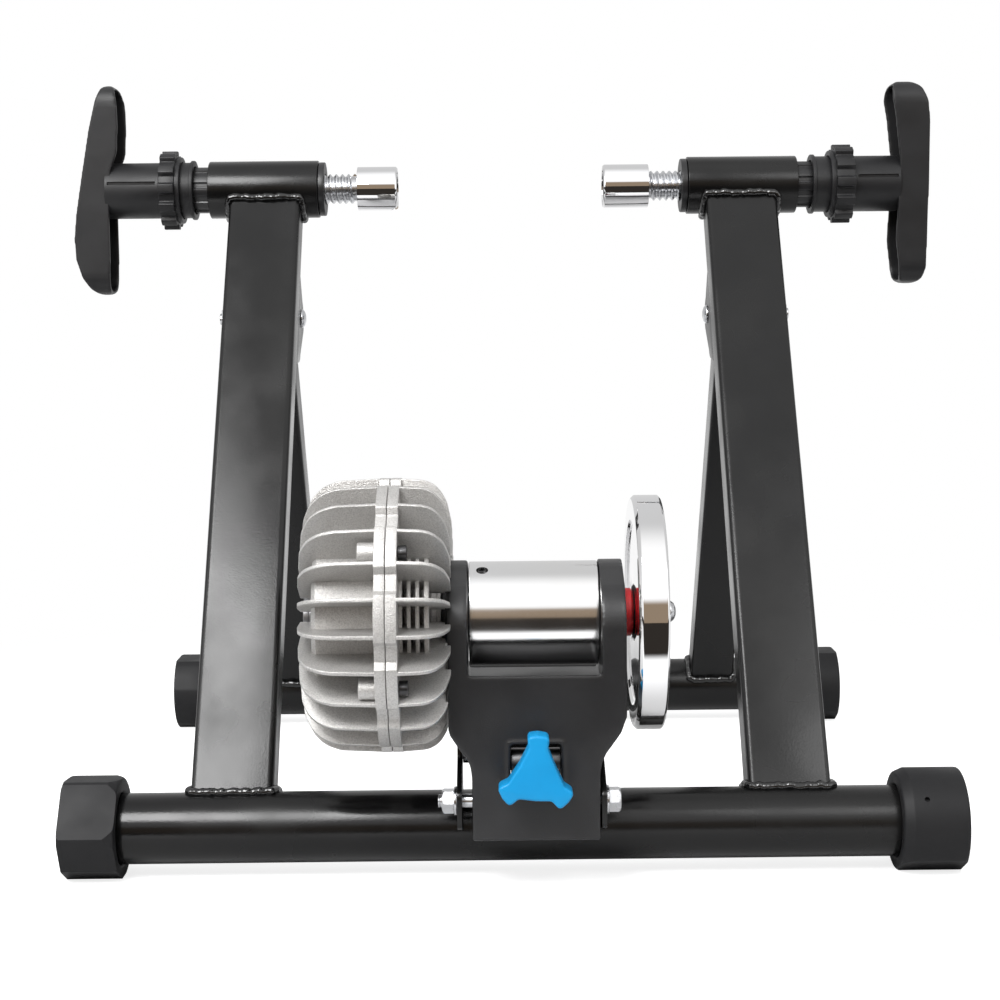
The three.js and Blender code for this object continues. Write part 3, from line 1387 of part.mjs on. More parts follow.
// Impeller, from the parting plane toward the left
function impeller() {
  const near = IMPELLER_SETBACK;
  const far = IMPELLER_SETBACK + IMPELLER_WIDTH;
  const hub = turnX(
    [
      [near, SHAFT_R + SEAT],
      [near, IMPELLER_R],
      [near + IMPELLER_DISC, IMPELLER_R],
      [near + IMPELLER_DISC, IMPELLER_HUB_R],
      [far, IMPELLER_HUB_R],
      [far, SHAFT_R + SEAT],
    ],
    FIN_COUNT,
  );
  const blade = prismY(
    rectangle(
      near + IMPELLER_DISC / 2,
      (SHAFT_R + SEAT + IMPELLER_HUB_R) / 2,
      far,
      IMPELLER_R - IMPELLER_BLADE,
    ),
    -IMPELLER_BLADE / 2,
    IMPELLER_BLADE / 2,
  );
  const blades = Array.from({ length: IMPELLER_BLADES }, (_, i) =>
    blade.rotate([(i * 360) / IMPELLER_BLADES, 0, 0]),
  );
  return joined([hub, ...blades]).mirror([1, 0, 0]);
}

// Finishes: colour, roughness and metalness
const PAINT = [0x17181a, 0.35, 0.2];
const CAP_PLASTIC = [0x242426, 0.75, 0];
const GRIP_PLASTIC = [0x1c1c1e, 0.62, 0];
const BUSH_PLASTIC = [0x151516, 0.55, 0];
const ZINC = [0xc9cbcd, 0.3, 1];
const CHROME = [0xd8dadc, 0.12, 1];
const STEEL = [0xa9abad, 0.35, 1];
const CASTING = [0xb4b2ae, 0.55, 0.8];
const YOKE_PAINT = [0x2b2b2d, 0.5, 0.1];
const BLUE_PLASTIC = [0x1c93d5, 0.45, 0];
const RED_PLASTIC = [0xb3161d, 0.45, 0];
const DARK_RUBBER = [0x101011, 0.8, 0];

// Scene graph
const group = new THREE.Group();
const lean = new THREE.Group();
lean.position.set(0, REAR_TUBE_Y, TUBE_HEIGHT);
lean.rotation.x = -LEAN_RADIANS;
const rearTube = new THREE.Group();
rearTube.position.set(0, REAR_TUBE_Y, TUBE_HEIGHT);
const frontTube = new THREE.Group();
frontTube.position.set(0, FRONT_TUBE_Y, TUBE_HEIGHT);
const foldAxis = new THREE.Group();
foldAxis.position.set(0, FOLD_Y, FOLD_Z);
const leg = new THREE.Group();
leg.rotation.x = LEG_LEAN;
foldAxis.add(leg);
const clampAxis = new THREE.Group();
clampAxis.position.set(0, AXLE_Y, AXLE_HEIGHT);
const rollerAxis = new THREE.Group();
rollerAxis.position.set(0, -ROLLER_SETBACK, ROLLER_UP);
const partingPlane = new THREE.Group();
partingPlane.position.x = PARTING_X;
rollerAxis.add(partingPlane);
const pivotAxis = new THREE.Group();
pivotAxis.position.set(0, -YOKE_PIVOT_BACK, YOKE_PIVOT_UP);
const saddleAxis = new THREE.Group();
saddleAxis.position.set(NECK_MIDDLE_X, -SADDLE_BACK, ADJUSTER_UP);
const crossbarAxis = new THREE.Group();
crossbarAxis.position.set(0, -CROSSBAR_BACK, ADJUSTER_UP);
rearTube.add(rollerAxis, pivotAxis, saddleAxis, crossbarAxis);
group.add(lean, rearTube, frontTube, foldAxis, clampAxis);

function place(name, solid, [color, roughness, metalness], parent) {
  const material = new THREE.MeshStandardMaterial({ color, roughness, metalness });
  const mesh = new THREE.Mesh(geometryOf(solid), material);
  mesh.name = name;
  parent.add(mesh);
  return mesh;
}

// A right-hand piece and its mirror image
function placePair(name, solid, finish, parent) {
  place("left_" + name, mirrored(solid), finish, parent);
  place("right_" + name, solid, finish, parent);
}

place("rear_foot_tube", footTube(), PAINT, rearTube);
place("front_foot_tube", footTube(), PAINT, frontTube);
for (const [end, tube] of [
  ["rear", rearTube],
  ["front", frontTube],
]) {
  place(end + "_right_cap", footCap(), CAP_PLASTIC, tube);
  place(end + "_left_cap", footCap(), CAP_PLASTIC, tube).rotation.z = Math.PI;
}
placePair("upright", upright(), PAINT, lean);
placePair("fold_bracket", foldBracket(), PAINT, lean);
placePair("fold_bolt", foldBolt(), ZINC, foldAxis);
placePair("fold_nut", foldNut(), ZINC, foldAxis);
placePair("leg", frontLeg(), PAINT, leg);

placePair("sleeve", sleeve(), PAINT, clampAxis);
placePair("inner_bush", innerBush(), BUSH_PLASTIC, clampAxis);
placePair("outer_bush", outerBush(), BUSH_PLASTIC, clampAxis);
placePair("clamp_screw", clampScrew(), ZINC, clampAxis);
place("left_cup", mirrored(clampCup(LEFT_CUP_LENGTH, true)), CHROME, clampAxis);
place("right_cup", clampCup(RIGHT_CUP_LENGTH, false), CHROME, clampAxis);
place("left_cup_liner", mirrored(cupLiner(LEFT_CUP_LENGTH)), DARK_RUBBER, clampAxis);
place("right_cup_liner", cupLiner(RIGHT_CUP_LENGTH), DARK_RUBBER, clampAxis);
place(
  "left_handle",
  mirrored(
    clampHandle(
      LEFT_GRIP_OUTER_SHARES,
      LEFT_GRIP_INNER_SHARES,
      LEFT_GRIP_DEPTH,
      LEFT_GRIP_HEIGHT,
      LEFT_LOCK_X + LEFT_LOCK_LENGTH,
    ),
  ),
  GRIP_PLASTIC,
  clampAxis,
);
place(
  "right_handle",
  clampHandle(
    RIGHT_GRIP_OUTER_SHARES,
    RIGHT_GRIP_INNER_SHARES,
    RIGHT_GRIP_DEPTH,
    RIGHT_GRIP_HEIGHT,
    RIGHT_LOCK_X + RIGHT_LOCK_LENGTH,
  ),
  GRIP_PLASTIC,
  clampAxis,
);
place("left_lock_ring", mirrored(lockRing(LEFT_LOCK_X, LEFT_LOCK_LENGTH)), GRIP_PLASTIC, clampAxis);
place("right_lock_ring", lockRing(RIGHT_LOCK_X, RIGHT_LOCK_LENGTH), GRIP_PLASTIC, clampAxis);

place("left_yoke_ear", yokeEar(LEFT_EAR_X), PAINT, rearTube);
place("right_yoke_ear", yokeEar(RIGHT_EAR_X), PAINT, rearTube);
place("crossbar", crossbar(), ZINC, crossbarAxis);
place("pivot_bolt", pivotBolt(), ZINC, pivotAxis);
place("pivot_nut", pivotNut(), ZINC, pivotAxis);
place("left_washer", pivotWasher(LEFT_EAR_X - SEAT - PIVOT_WASHER_THICK), ZINC, pivotAxis);
place("right_washer", pivotWasher(RIGHT_EAR_X + EAR_THICK + SEAT), ZINC, pivotAxis);
place("yoke", yoke(), YOKE_PAINT, rearTube);
place("saddle", saddle(), STEEL, saddleAxis);
place("knob", knob(), BLUE_PLASTIC, saddleAxis);
place("adjuster_rod", adjusterRod(), ZINC, saddleAxis);

place("shaft", shaft(), STEEL, rollerAxis);
place("left_bearing", bearing(LEFT_ARM_INNER_X - SEAT - BEARING_THICK), STEEL, rollerAxis);
place("right_bearing", bearing(YOKE_RIGHT_X - SEAT - BEARING_THICK), STEEL, rollerAxis);
place("roller", roller(), CHROME, rollerAxis);
place("grub_screw", grubScrew(), STEEL, rollerAxis);
place("collar", spacerCollar(), RED_PLASTIC, rollerAxis);
place("flywheel", flywheel(), CHROME, rollerAxis);
place("dome_nut", domeNut(), ZINC, rollerAxis);
place("left_case", leftCase(), CASTING, partingPlane);
place("right_case", rightCase(), CASTING, partingPlane);
place("filler_plug", fillerPlug(), STEEL, partingPlane);
place("shaft_seal", shaftSeal(), DARK_RUBBER, partingPlane);
place("impeller", impeller(), STEEL, partingPlane);
atCaseBolts(caseBolt()).forEach((bolt, i) => {
  place("case_bolt_" + (i + 1), bolt, STEEL, partingPlane);
});

export default group;
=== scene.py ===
import json
import math
import random

import bmesh
import bpy
from mathutils import Matrix, Vector


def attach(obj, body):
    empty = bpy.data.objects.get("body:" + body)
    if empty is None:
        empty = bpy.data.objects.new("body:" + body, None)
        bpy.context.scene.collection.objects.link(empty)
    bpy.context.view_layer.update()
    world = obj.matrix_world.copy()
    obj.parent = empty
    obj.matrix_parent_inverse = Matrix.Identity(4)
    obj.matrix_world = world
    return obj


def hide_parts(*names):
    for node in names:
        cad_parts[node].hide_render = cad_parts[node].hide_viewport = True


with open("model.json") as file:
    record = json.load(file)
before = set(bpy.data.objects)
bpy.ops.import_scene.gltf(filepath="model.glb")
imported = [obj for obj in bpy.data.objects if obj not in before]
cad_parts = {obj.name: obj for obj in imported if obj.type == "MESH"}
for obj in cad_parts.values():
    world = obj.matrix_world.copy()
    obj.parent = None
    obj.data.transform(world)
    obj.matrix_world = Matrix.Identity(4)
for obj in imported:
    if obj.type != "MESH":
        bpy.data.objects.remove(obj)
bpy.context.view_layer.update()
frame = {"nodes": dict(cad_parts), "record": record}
scene = bpy.context.scene
scene.view_settings.view_transform = "Standard"

# Lengths are in millimetres until a piece is finished
MM = 0.001

# Places of the trainer's axes
REAR_Y = -178.25
FRONT_Y = 235.75
TUBE_Z = 29.0
SPAN_X = 168
LEAN = math.radians(32)
AXLE_Y = 69.26
AXLE_Z = 425.1
UPRIGHT_LENGTH = 467.07
FOLD_Y = 47.33
FOLD_Z = 333.39
LEG_LENGTH = 358.0
LEG_LEAN = math.atan2(FRONT_Y - FOLD_Y, FOLD_Z - TUBE_Z)
ROLLER_Y = -188.25
ROLLER_Z = 159.5
PARTING_X = -69.0

# The yoke's middle, and its pins as (back, up) from the rear tube
NECK_MIDDLE = 14.1
PIVOT_AT = (-39, 25.3)
BARREL_AT = (-45, 49.5)
CROSSBAR_AT = (-15, 49.5)

# Sections that several pieces meet at
TUBE_R = 21.2
TUBE_END = 265.2
SLEEVE_R = 20.1
UPRIGHT = (50, 25)
LEG = (34, 25)
TUBE_WALL = 1.8
SHEET = 3
BOLT_R = 4
BOLT_FLATS = 13

at = Matrix.Translation
REAR = at((0, REAR_Y, TUBE_Z))
FRONT = at((0, FRONT_Y, TUBE_Z))
UPRIGHTS = REAR @ Matrix.Rotation(-LEAN, 4, "X")
FOLD = at((0, FOLD_Y, FOLD_Z))
LEGS = FOLD @ Matrix.Rotation(LEG_LEAN, 4, "X")
CLAMPS = at((0, AXLE_Y, AXLE_Z))
ROLLER = at((0, ROLLER_Y, ROLLER_Z))
CASES = at((PARTING_X, ROLLER_Y, ROLLER_Z))
PIVOT = REAR @ at((0, *PIVOT_AT))
SADDLE = REAR @ at((NECK_MIDDLE, *BARREL_AT))
CROSSBAR = REAR @ at((0, *CROSSBAR_AT))
MIRROR = Matrix.Scale(-1, 4, (1, 0, 0))
UPSIDE_DOWN = Matrix.Scale(-1, 4, (0, 0, 1))
SIDES = (("left", MIRROR), ("right", Matrix.Identity(4)))


# Materials
def material(name, color, rough, metal, grain, cloud, sheen, wear):
    """A finish with an even colour, broken up by fine grain, soft clouds and worn patches.

    grain is (cells per metre, height in metres), cloud is (cells per metre, share of roughness),
    sheen is the specular level and wear is (cells per metre, colour).
    """
    made = bpy.data.materials.new(name)
    made.use_nodes = True
    nodes = made.node_tree.nodes
    link = made.node_tree.links.new
    shader = nodes["Principled BSDF"]
    shader.inputs["Base Color"].default_value = (*color, 1)
    shader.inputs["Roughness"].default_value = rough
    shader.inputs["Metallic"].default_value = metal
    shader.inputs["Specular IOR Level"].default_value = sheen
    where = nodes.new("ShaderNodeTexCoord").outputs["Object"]

    def field(cells, detail, low, high, at_low, at_high):
        texture = nodes.new("ShaderNodeTexNoise")
        texture.inputs["Scale"].default_value = cells
        texture.inputs["Detail"].default_value = detail
        link(where, texture.inputs["Vector"])
        spread = nodes.new("ShaderNodeMapRange")
        for socket, value in zip(spread.inputs[1:5], (low, high, at_low, at_high)):
            socket.default_value = value
        link(texture.outputs["Fac"], spread.inputs["Value"])
        return spread.outputs["Result"]

    cells, share = cloud
    link(
        field(cells, 3, 0.35, 0.68, rough * (1 - share), rough * (1 + share)),
        shader.inputs["Roughness"],
    )
    cells, tint = wear
    mix = nodes.new("ShaderNodeMix")
    mix.data_type = "RGBA"
    mix.inputs["A"].default_value = (*color, 1)
    mix.inputs["B"].default_value = (*tint, 1)
    link(field(cells, 4, 0.42, 0.7, 0, 1), mix.inputs["Factor"])
    link(mix.outputs["Result"], shader.inputs["Base Color"])
    if grain:
        cells, height = grain
        bump = nodes.new("ShaderNodeBump")
        bump.inputs["Strength"].default_value = 1
        bump.inputs["Distance"].default_value = height
        link(field(cells, 4, 0, 1, 0, 1), bump.inputs["Height"])
        link(bump.outputs["Normal"], shader.inputs["Normal"])
    return made


# Colour, roughness, metal, grain, clouds, sheen and wear of each finish
LOOKS = {
    "frame_paint": (
        (0.003, 0.003, 0.0032), 0.25, 0, (900, 0.00005), (16, 0.38), 0.36,
        (11, (0.007, 0.0068, 0.0066)),
    ),
    "weld_paint": (
        (0.004, 0.004, 0.0043), 0.1, 0, (700, 0.0001), (60, 0.3), 0.7,
        (40, (0.008, 0.008, 0.008)),
    ),
    "yoke_paint": (
        (0.012, 0.012, 0.013), 0.42, 0, (1500, 0.00009), (25, 0.15), 0.5,
        (30, (0.018, 0.018, 0.019)),
    ),
    "cap_plastic": (
        (0.010, 0.010, 0.011), 0.55, 0, (2600, 0.00006), (30, 0.12), 0.24,
        (22, (0.014, 0.014, 0.015)),
    ),
    "grip_plastic": (
        (0.009, 0.009, 0.010), 0.46, 0, (2400, 0.00006), (35, 0.15), 0.36,
        (26, (0.016, 0.016, 0.017)),
    ),
    "bush_plastic": (
        (0.009, 0.009, 0.010), 0.4, 0, (1800, 0.00003), (30, 0.15), 0.5,
        (28, (0.014, 0.014, 0.015)),
    ),
    "zinc": (
        (0.62, 0.63, 0.65), 0.24, 1, (1300, 0.00002), (60, 0.3), 0.5,
        (45, (0.54, 0.54, 0.55)),
    ),
    "chrome": (
        (0.82, 0.82, 0.83), 0.05, 1, None, (18, 0.25), 0.5,
        (9, (0.79, 0.785, 0.78)),
    ),
    "worn_chrome": (
        (0.82, 0.82, 0.825), 0.15, 1, None, (30, 0.15), 0.5,
        (14, (0.79, 0.785, 0.78)),
    ),
    "steel": (
        (0.32, 0.32, 0.33), 0.34, 1, (1600, 0.00002), (60, 0.2), 0.5,
        (40, (0.26, 0.26, 0.27)),
    ),
    "casting": (
        (0.58, 0.57, 0.555), 0.42, 0.6, (1500, 0.0004), (40, 0.2), 0.5,
        (1100, (0.44, 0.43, 0.42)),
    ),
    "black_steel": (
        (0.10, 0.10, 0.103), 0.38, 1, (1600, 0.00004), (60, 0.2), 0.5,
        (160, (0.06, 0.06, 0.062)),
    ),
    "knob_plastic": (
        (0.004, 0.300, 0.640), 0.42, 0, (2200, 0.00004), (35, 0.12), 0.32,
        (30, (0.004, 0.272, 0.590)),
    ),
    "collar_plastic": (
        (0.90, 0.020, 0.028), 0.4, 0, (1800, 0.00003), (35, 0.12), 0.5,
        (30, (0.80, 0.016, 0.024)),
    ),
    "dark_rubber": (
        (0.006, 0.006, 0.006), 0.6, 0, (2000, 0.00005), (30, 0.12), 0.5,
        (25, (0.010, 0.010, 0.010)),
    ),
}
FINISHES = {name: material(name, *look) for name, look in LOOKS.items()}


# Shapes
def soft(points, radius, steps=4, ring=True):
    """An outline with its corners rounded; an open one keeps its ends."""
    made = []
    for i, point in enumerate(points):
        here = Vector(point)
        back = Vector(points[i - 1]) - here
        ahead = Vector(points[(i + 1) % len(points)]) - here
        if not ring and i in (0, len(points) - 1) or back.angle(ahead) > math.radians(176):
            made.append(tuple(here))
            continue
        reach = min(
            radius / math.tan(back.angle(ahead) / 2), 0.48 * back.length, 0.48 * ahead.length
        )
        start = here + back.normalized() * reach
        end = here + ahead.normalized() * reach
        for k in range(steps + 1):
            t = k / steps
            made.append(tuple((1 - t) ** 2 * start + 2 * t * (1 - t) * here + t * t * end))
    return made


def box(left, low, right, high):
    return [(left, low), (right, low), (right, high), (left, high)]


def arc(centre, radius, start, end, steps):
    turns = [math.radians(start + (end - start) * i / steps) for i in range(steps + 1)]
    return [(centre[0] + radius * math.cos(a), centre[1] + radius * math.sin(a)) for a in turns]


def ring(centre, radius, steps):
    return arc(centre, radius, 0, 360, steps)[:-1]


def hexagon(flats):
    return ring((0, 0), flats / 2 / math.cos(math.pi / 6), 6)


def aligned(bm, axis):
    """Turns a shape made along X so that it lies along another axis."""
    if axis == "Y":
        bmesh.ops.rotate(bm, verts=bm.verts, matrix=Matrix.Rotation(math.pi / 2, 3, "Z"))
    if axis == "Z":
        bmesh.ops.rotate(bm, verts=bm.verts, matrix=Matrix.Rotation(-math.pi / 2, 3, "Y"))
    return bm


def turned(profile, sides=96, axis="X"):
    """A body of revolution from (along, radius) pairs, closed on itself or on the axis."""
    bm = bmesh.new()
    verts = [bm.verts.new((along, 0, radius)) for along, radius in profile]
    on_axis = profile[0][1] == 0 and profile[-1][1] == 0
    path = verts if on_axis else verts + verts[:1]
    edges = [bm.edges.new(pair) for pair in zip(path, path[1:])]
    bmesh.ops.spin(
        bm, geom=verts + edges, cent=(0, 0, 0), axis=(1, 0, 0),
        angle=2 * math.pi, steps=sides, use_merge=True,
    )
    bmesh.ops.remove_doubles(bm, verts=bm.verts, dist=1e-4)
    return aligned(bm, axis)


def rod(start, end, radius, edge=0.3, sides=64, axis="X"):
    profile = [(start, 0), (start, radius), (end, radius), (end, 0)]
    return turned(soft(profile, edge, 3, False), sides, axis)


def pipe(start, end, outer, inner, edge=0.3, sides=96, axis="X"):
    profile = [(start, inner), (start, outer), (end, outer), (end, inner)]
    return turned(soft(profile, edge, 3), sides, axis)


def bevelled(bm, width, segments=2, sharp=32):
    edges = [e for e in bm.edges if e.is_manifold and e.calc_face_angle() > math.radians(sharp)]
    bmesh.ops.bevel(
        bm, geom=edges, offset=width, segments=segments, profile=0.5, material=-1,
        affect="EDGES", clamp_overlap=True,
    )
    return bm


def slab(outline, low, high, axis="X", edge=0.0, segments=2):
    """A prism along an axis, from an outline in the other two axes."""
    put = {
        "X": lambda a, b: (low, a, b),
        "Y": lambda a, b: (a, low, b),
        "Z": lambda a, b: (a, b, low),
    }[axis]
    bm = bmesh.new()
    face = bm.faces.new([bm.verts.new(put(a, b)) for a, b in outline])
    made = bmesh.ops.extrude_face_region(bm, geom=[face])
    verts = [v for v in made["geom"] if isinstance(v, bmesh.types.BMVert)]
    along = Vector([high - low if axis == name else 0 for name in "XYZ"])
    bmesh.ops.translate(bm, verts=verts, vec=along)
    bmesh.ops.recalc_face_normals(bm, faces=bm.faces)
    return bevelled(bm, edge, segments) if edge else bm


def moved(bm, matrix):
    bmesh.ops.transform(bm, matrix=matrix, verts=bm.verts)
    return bm


def turn_x(degrees):
    return Matrix.Rotation(math.radians(degrees), 4, "X")


def joined(parts):
    bm = bmesh.new()
    for part in parts:
        mesh = bpy.data.meshes.new("part")
        part.to_mesh(mesh)
        bm.from_mesh(mesh)
        bpy.data.meshes.remove(mesh)
    return bm


def copies(bm, matrices):
    return joined([moved(bm.copy(), matrix) for matrix in matrices])


def plain_object(name, bm):
    mesh = bpy.data.meshes.new(name)
    bmesh.ops.recalc_face_normals(bm, faces=bm.faces)
    bm.to_mesh(mesh)
    made = bpy.data.objects.new(name, mesh)
    scene.collection.objects.link(made)
    return made


def carved(body, cuts=(), adds=(), keeps=(), voxel=0.0, smooth=0):
    """A solid joined, cut and kept by others, then remeshed and eased where a voxel is given."""
    base = plain_object("body", body)
    tools = []
    for operation, group in (("INTERSECT", keeps), ("UNION", adds), ("DIFFERENCE", cuts)):
        for tool in group:
            tools.append(plain_object("tool", tool))
            modifier = base.modifiers.new("solid", "BOOLEAN")
            modifier.operation = operation
            # The exact solver's mesh could differ from run to run
            modifier.solver = "MANIFOLD"
            modifier.object = tools[-1]
    if voxel:
        remesh = base.modifiers.new("even", "REMESH")
        remesh.mode = "VOXEL"
        remesh.voxel_size = voxel
    bpy.context.view_layer.update()
    done = base.evaluated_get(bpy.context.evaluated_depsgraph_get())
    bm = bmesh.new()
    bm.from_mesh(done.to_mesh())
    done.to_mesh_clear()
    for made in [base, *tools]:
        bpy.data.objects.remove(made)
    for _ in range(smooth):
        bmesh.ops.smooth_vert(
            bm, verts=bm.verts, factor=0.5, use_axis_x=True, use_axis_y=True, use_axis_z=True
        )
    return bm


def piece(name, body, finish, parts, place=None, nodes=(), sharp=30):
    """A finished piece, in metres, that rides on a body and stands for CAD nodes."""
    bm = joined(parts)
    bmesh.ops.transform(bm, matrix=Matrix.Scale(MM, 4) @ (place or Matrix()), verts=bm.verts)
    made = plain_object(name, bm)
    made.data.shade_smooth()
    made.data.set_sharp_from_angle(angle=math.radians(sharp))
    made.data.materials.append(FINISHES[finish])
    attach(made, body)
    if nodes:
        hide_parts(*nodes)
    return made


# CAD nodes that stay shown take their slot's finish
for part in frame["record"]["subparts"]:
    shown = frame["nodes"][part["node"]]
    shown.data.materials.clear()
    shown.data.materials.append(FINISHES[part["material_slot"]])


# Foot tubes and caps: a cap's mouth, end and radius, and its flats as (distance, degrees)
CAPS = {
    "rear_right": (231, 270, 31.6, ((29, -90), (30, -30), (31, 30), (28.4, -120))),
    "rear_left": (
        234, 267.4, 33, ((29, -90), (30, 210), (31, 150), (30.2, 95), (28.2, 36), (28.8, -26),
         (28.4, -60)),
    ),
    "front_right": (231, 270, 31, ((29, -90), (28.6, -120), (27.5, 90), (30, 30))),
    "front_left": (231, 270, 31, ((29, -90), (29.4, -30), (26.5, 90), (29.4, 30))),
}


def foot_cap(mouth, end, radius, flats):
    """A cap along +X with a socket for the tube, a tapered mouth and flats that level it."""
    floor, socket = end - 4.5, TUBE_R + 0.2
    profile = [
        (floor, 0), (floor, socket), (mouth, socket), (mouth, radius - 2.6),
        (mouth + 6, radius), (end, radius), (end, 0),
    ]
    bm = turned(soft(profile, 2.2, 4, False), 120)
    for distance, degrees in flats:
        away = Matrix.Rotation(math.radians(degrees), 3, "X") @ Vector((0, 1, 0))
        cut = bmesh.ops.bisect_plane(
            bm, geom=[*bm.verts, *bm.edges, *bm.faces], dist=1e-4,
            plane_co=away * distance, plane_no=away, clear_outer=True,
        )
        edges = [e for e in cut["geom_cut"] if isinstance(e, bmesh.types.BMEdge)]
        bmesh.ops.edgeloop_fill(bm, edges=[e for e in edges if e.is_boundary])
    return bm


for end, place, body in (("rear", REAR, "frame"), ("front", FRONT, "front_leg")):
    tube = pipe(-TUBE_END, TUBE_END, TUBE_R, TUBE_R - 2, 0.4, 128)
    piece(f"{end}_round_tube", body, "frame_paint", [tube], place, [f"{end}_foot_tube"])
    for side, turn in (("right", 0), ("left", math.pi)):
        cap = foot_cap(*CAPS[f"{end}_{side}"])
        if (end, side) == ("rear", "right"):
            dimple = moved(rod(28.8, 36, 1.6, 0, 24, "Z"), turn_x(52.3) @ at((245, 0, 0)))
            cap = carved(cap, [dimple])
        moved(cap, Matrix.Rotation(turn, 4, "Z"))
        piece(
            f"{end}_{side}_foot_cap", body, "cap_plastic", [cap], place, [f"{end}_{side}_cap"]
        )


# Uprights and legs, with their weld beads
def square_tube(width, depth, corner, foot, head, closed=True):
    """A rectangular tube along Z, whose foot follows the round tube that it stands on.

    Its upper end is flat, and closed round the wall unless it stays open inside a sleeve.
    """
    bm = bmesh.new()
    lows, highs = [], []
    for inset in (0, TUBE_WALL):
        outline = soft(
            box(inset - width / 2, inset - depth / 2, width / 2 - inset, depth / 2 - inset),
            corner - inset / 2, 6,
        )
        verts = [bm.verts.new((x, y, foot)) for x, y in outline]
        edges = [bm.edges.new(pair) for pair in zip(verts, verts[1:] + verts[:1])]
        lows += edges
        made = bmesh.ops.extrude_edge_only(bm, edges=edges)["geom"]
        highs += [e for e in made if isinstance(e, bmesh.types.BMEdge) and len(e.link_faces) == 1]
        for v in made:
            if isinstance(v, bmesh.types.BMVert):
                v.co.z = head
    bmesh.ops.bridge_loops(bm, edges=lows)
    if closed:
        bmesh.ops.bridge_loops(bm, edges=highs)
    for v in bm.verts:
        if v.co.z == foot:
            v.co.z += math.sqrt((TUBE_R + 0.1) ** 2 - v.co.y**2)
    bmesh.ops.recalc_face_normals(bm, faces=bm.faces)
    return bm


def walk(outline, step):
    """Points at an even spacing round a closed outline."""
    made, left = [], 0.0
    for a, b in zip(outline, outline[1:] + outline[:1]):
        a, b = Vector(a), Vector(b)
        length = (b - a).length
        while left < length:
            made.append(a.lerp(b, left / length))
            left += step
        left -= length
    return made


def weld_bead(width, depth, tube_r, seed):
    """A lumpy bead round a rectangular tube's foot, where it stands on a round tube."""
    rng = random.Random(seed)
    bm = bmesh.new()
    path = soft(box(-width / 2 - 1, -depth / 2 - 1, width / 2 + 1, depth / 2 + 1), 4, 5)
    for x, y in walk(path, 2.3):
        z = math.sqrt(max((tube_r + 0.9) ** 2 - y * y, 0)) + rng.uniform(-0.3, 0.7)
        place = at((x + rng.uniform(-0.4, 0.4), y + rng.uniform(-0.4, 0.4), z))
        bmesh.ops.create_icosphere(
            bm, subdivisions=2, radius=rng.uniform(2.5, 3.3), matrix=place
        )
    return carved(bm, voxel=0.7, smooth=2)


# The fold brackets' forks, and their bolts' place from an upright's top and middle
FORK_HALF = 21.5
FOLD_DOWN = 89.4
FOLD_OUT = 30
BACK = UPRIGHT[1] / 2 + 0.3

for count, (side, mirror) in enumerate(SIDES):
    half = mirror @ at((SPAN_X, 0, 0))
    tube = square_tube(*UPRIGHT, 4, 0, UPRIGHT_LENGTH, closed=False)
    foot = weld_bead(*UPRIGHT, TUBE_R, 10 + count)
    head = moved(
        weld_bead(*UPRIGHT, SLEEVE_R, 20 + count), at((0, 0, UPRIGHT_LENGTH)) @ UPSIDE_DOWN
    )
    piece(
        f"{side}_rectangular_upright", "frame", "frame_paint", [tube],
        UPRIGHTS @ half, [f"{side}_upright"],
    )
    piece(f"{side}_upright_welds", "frame", "weld_paint", [foot, head], UPRIGHTS @ half)
    leg = moved(square_tube(*LEG, 3.4, -LEG_LENGTH, -6), at((-1, 0, 0)))
    foot = moved(weld_bead(*LEG, TUBE_R, 30 + count), at((-1, 0, -LEG_LENGTH)))
    barrel = pipe(0.3 - FORK_HALF, FORK_HALF - 0.3, LEG[1] / 2, BOLT_R + 0.3, 0.5)
    piece(
        f"{side}_front_strut", "front_leg", "frame_paint", [leg, barrel],
        LEGS @ half, [f"{side}_leg"],
    )
    piece(f"{side}_leg_weld", "front_leg", "weld_paint", [foot], LEGS @ half)

    # Fold bracket: a back plate and two lobed cheeks
    along = UPRIGHT_LENGTH - FOLD_DOWN
    cheek = [
        (BACK, along + 25), (BACK, along - 49),
        *arc((22, along - 28), 11, -75, 0, 12), *arc((FOLD_OUT, along), 15, -10, 85, 24),
    ]
    cheeks = [
        slab(cheek, low, low + SHEET, "X", 0.5) for low in (-FORK_HALF - SHEET, FORK_HALF)
    ]
    back = slab(box(-24, along - 48, 24, along + 24), BACK, BACK + SHEET, "Y", 0.5)
    piece(
        f"{side}_folded_bracket", "frame", "frame_paint", [*cheeks, back],
        UPRIGHTS @ half, [f"{side}_fold_bracket"],
    )
    seat = FORK_HALF + SHEET + 0.3
    dome = [(-27.6, 0), (-27.6, 2.6), (-26.9, 4.9), (-25.6, 6.4), (-seat, 6.7), (-seat, 0)]
    bolt = [turned(soft(dome, 0.8, 3, False)), rod(-25, 32.8, BOLT_R, 0.6)]
    piece(f"{side}_domed_bolt", "frame", "zinc", bolt, FOLD @ half, [f"{side}_fold_bolt"])
    nut = slab(hexagon(BOLT_FLATS), seat, seat + 6.5, "X", 0.5, 3)
    nut = carved(nut, [rod(20, 40, BOLT_R + 0.2)])
    piece(f"{side}_hex_nut", "frame", "zinc", [nut], FOLD @ half, [f"{side}_fold_nut"])


# Axle clamps
def clamp_thread(start, turns, pitch):
    """A right-hand helical ridge round the X axis."""
    bm = bmesh.new()
    ridge = [(0, 8.7), (1.2, 10.2), (1.5, 10.5), (2.1, 10.5), (2.4, 10.2), (3.6, 8.7), (1.8, 8.2)]
    verts = [bm.verts.new((start + along, 0, radius)) for along, radius in ridge]
    face = bm.faces.new(verts)
    steps = 32
    bmesh.ops.spin(
        bm, geom=[face], cent=(0, 0, 0), axis=(1, 0, 0), dvec=(pitch / steps, 0, 0),
        angle=2 * math.pi * turns, steps=steps * turns,
    )
    return bm


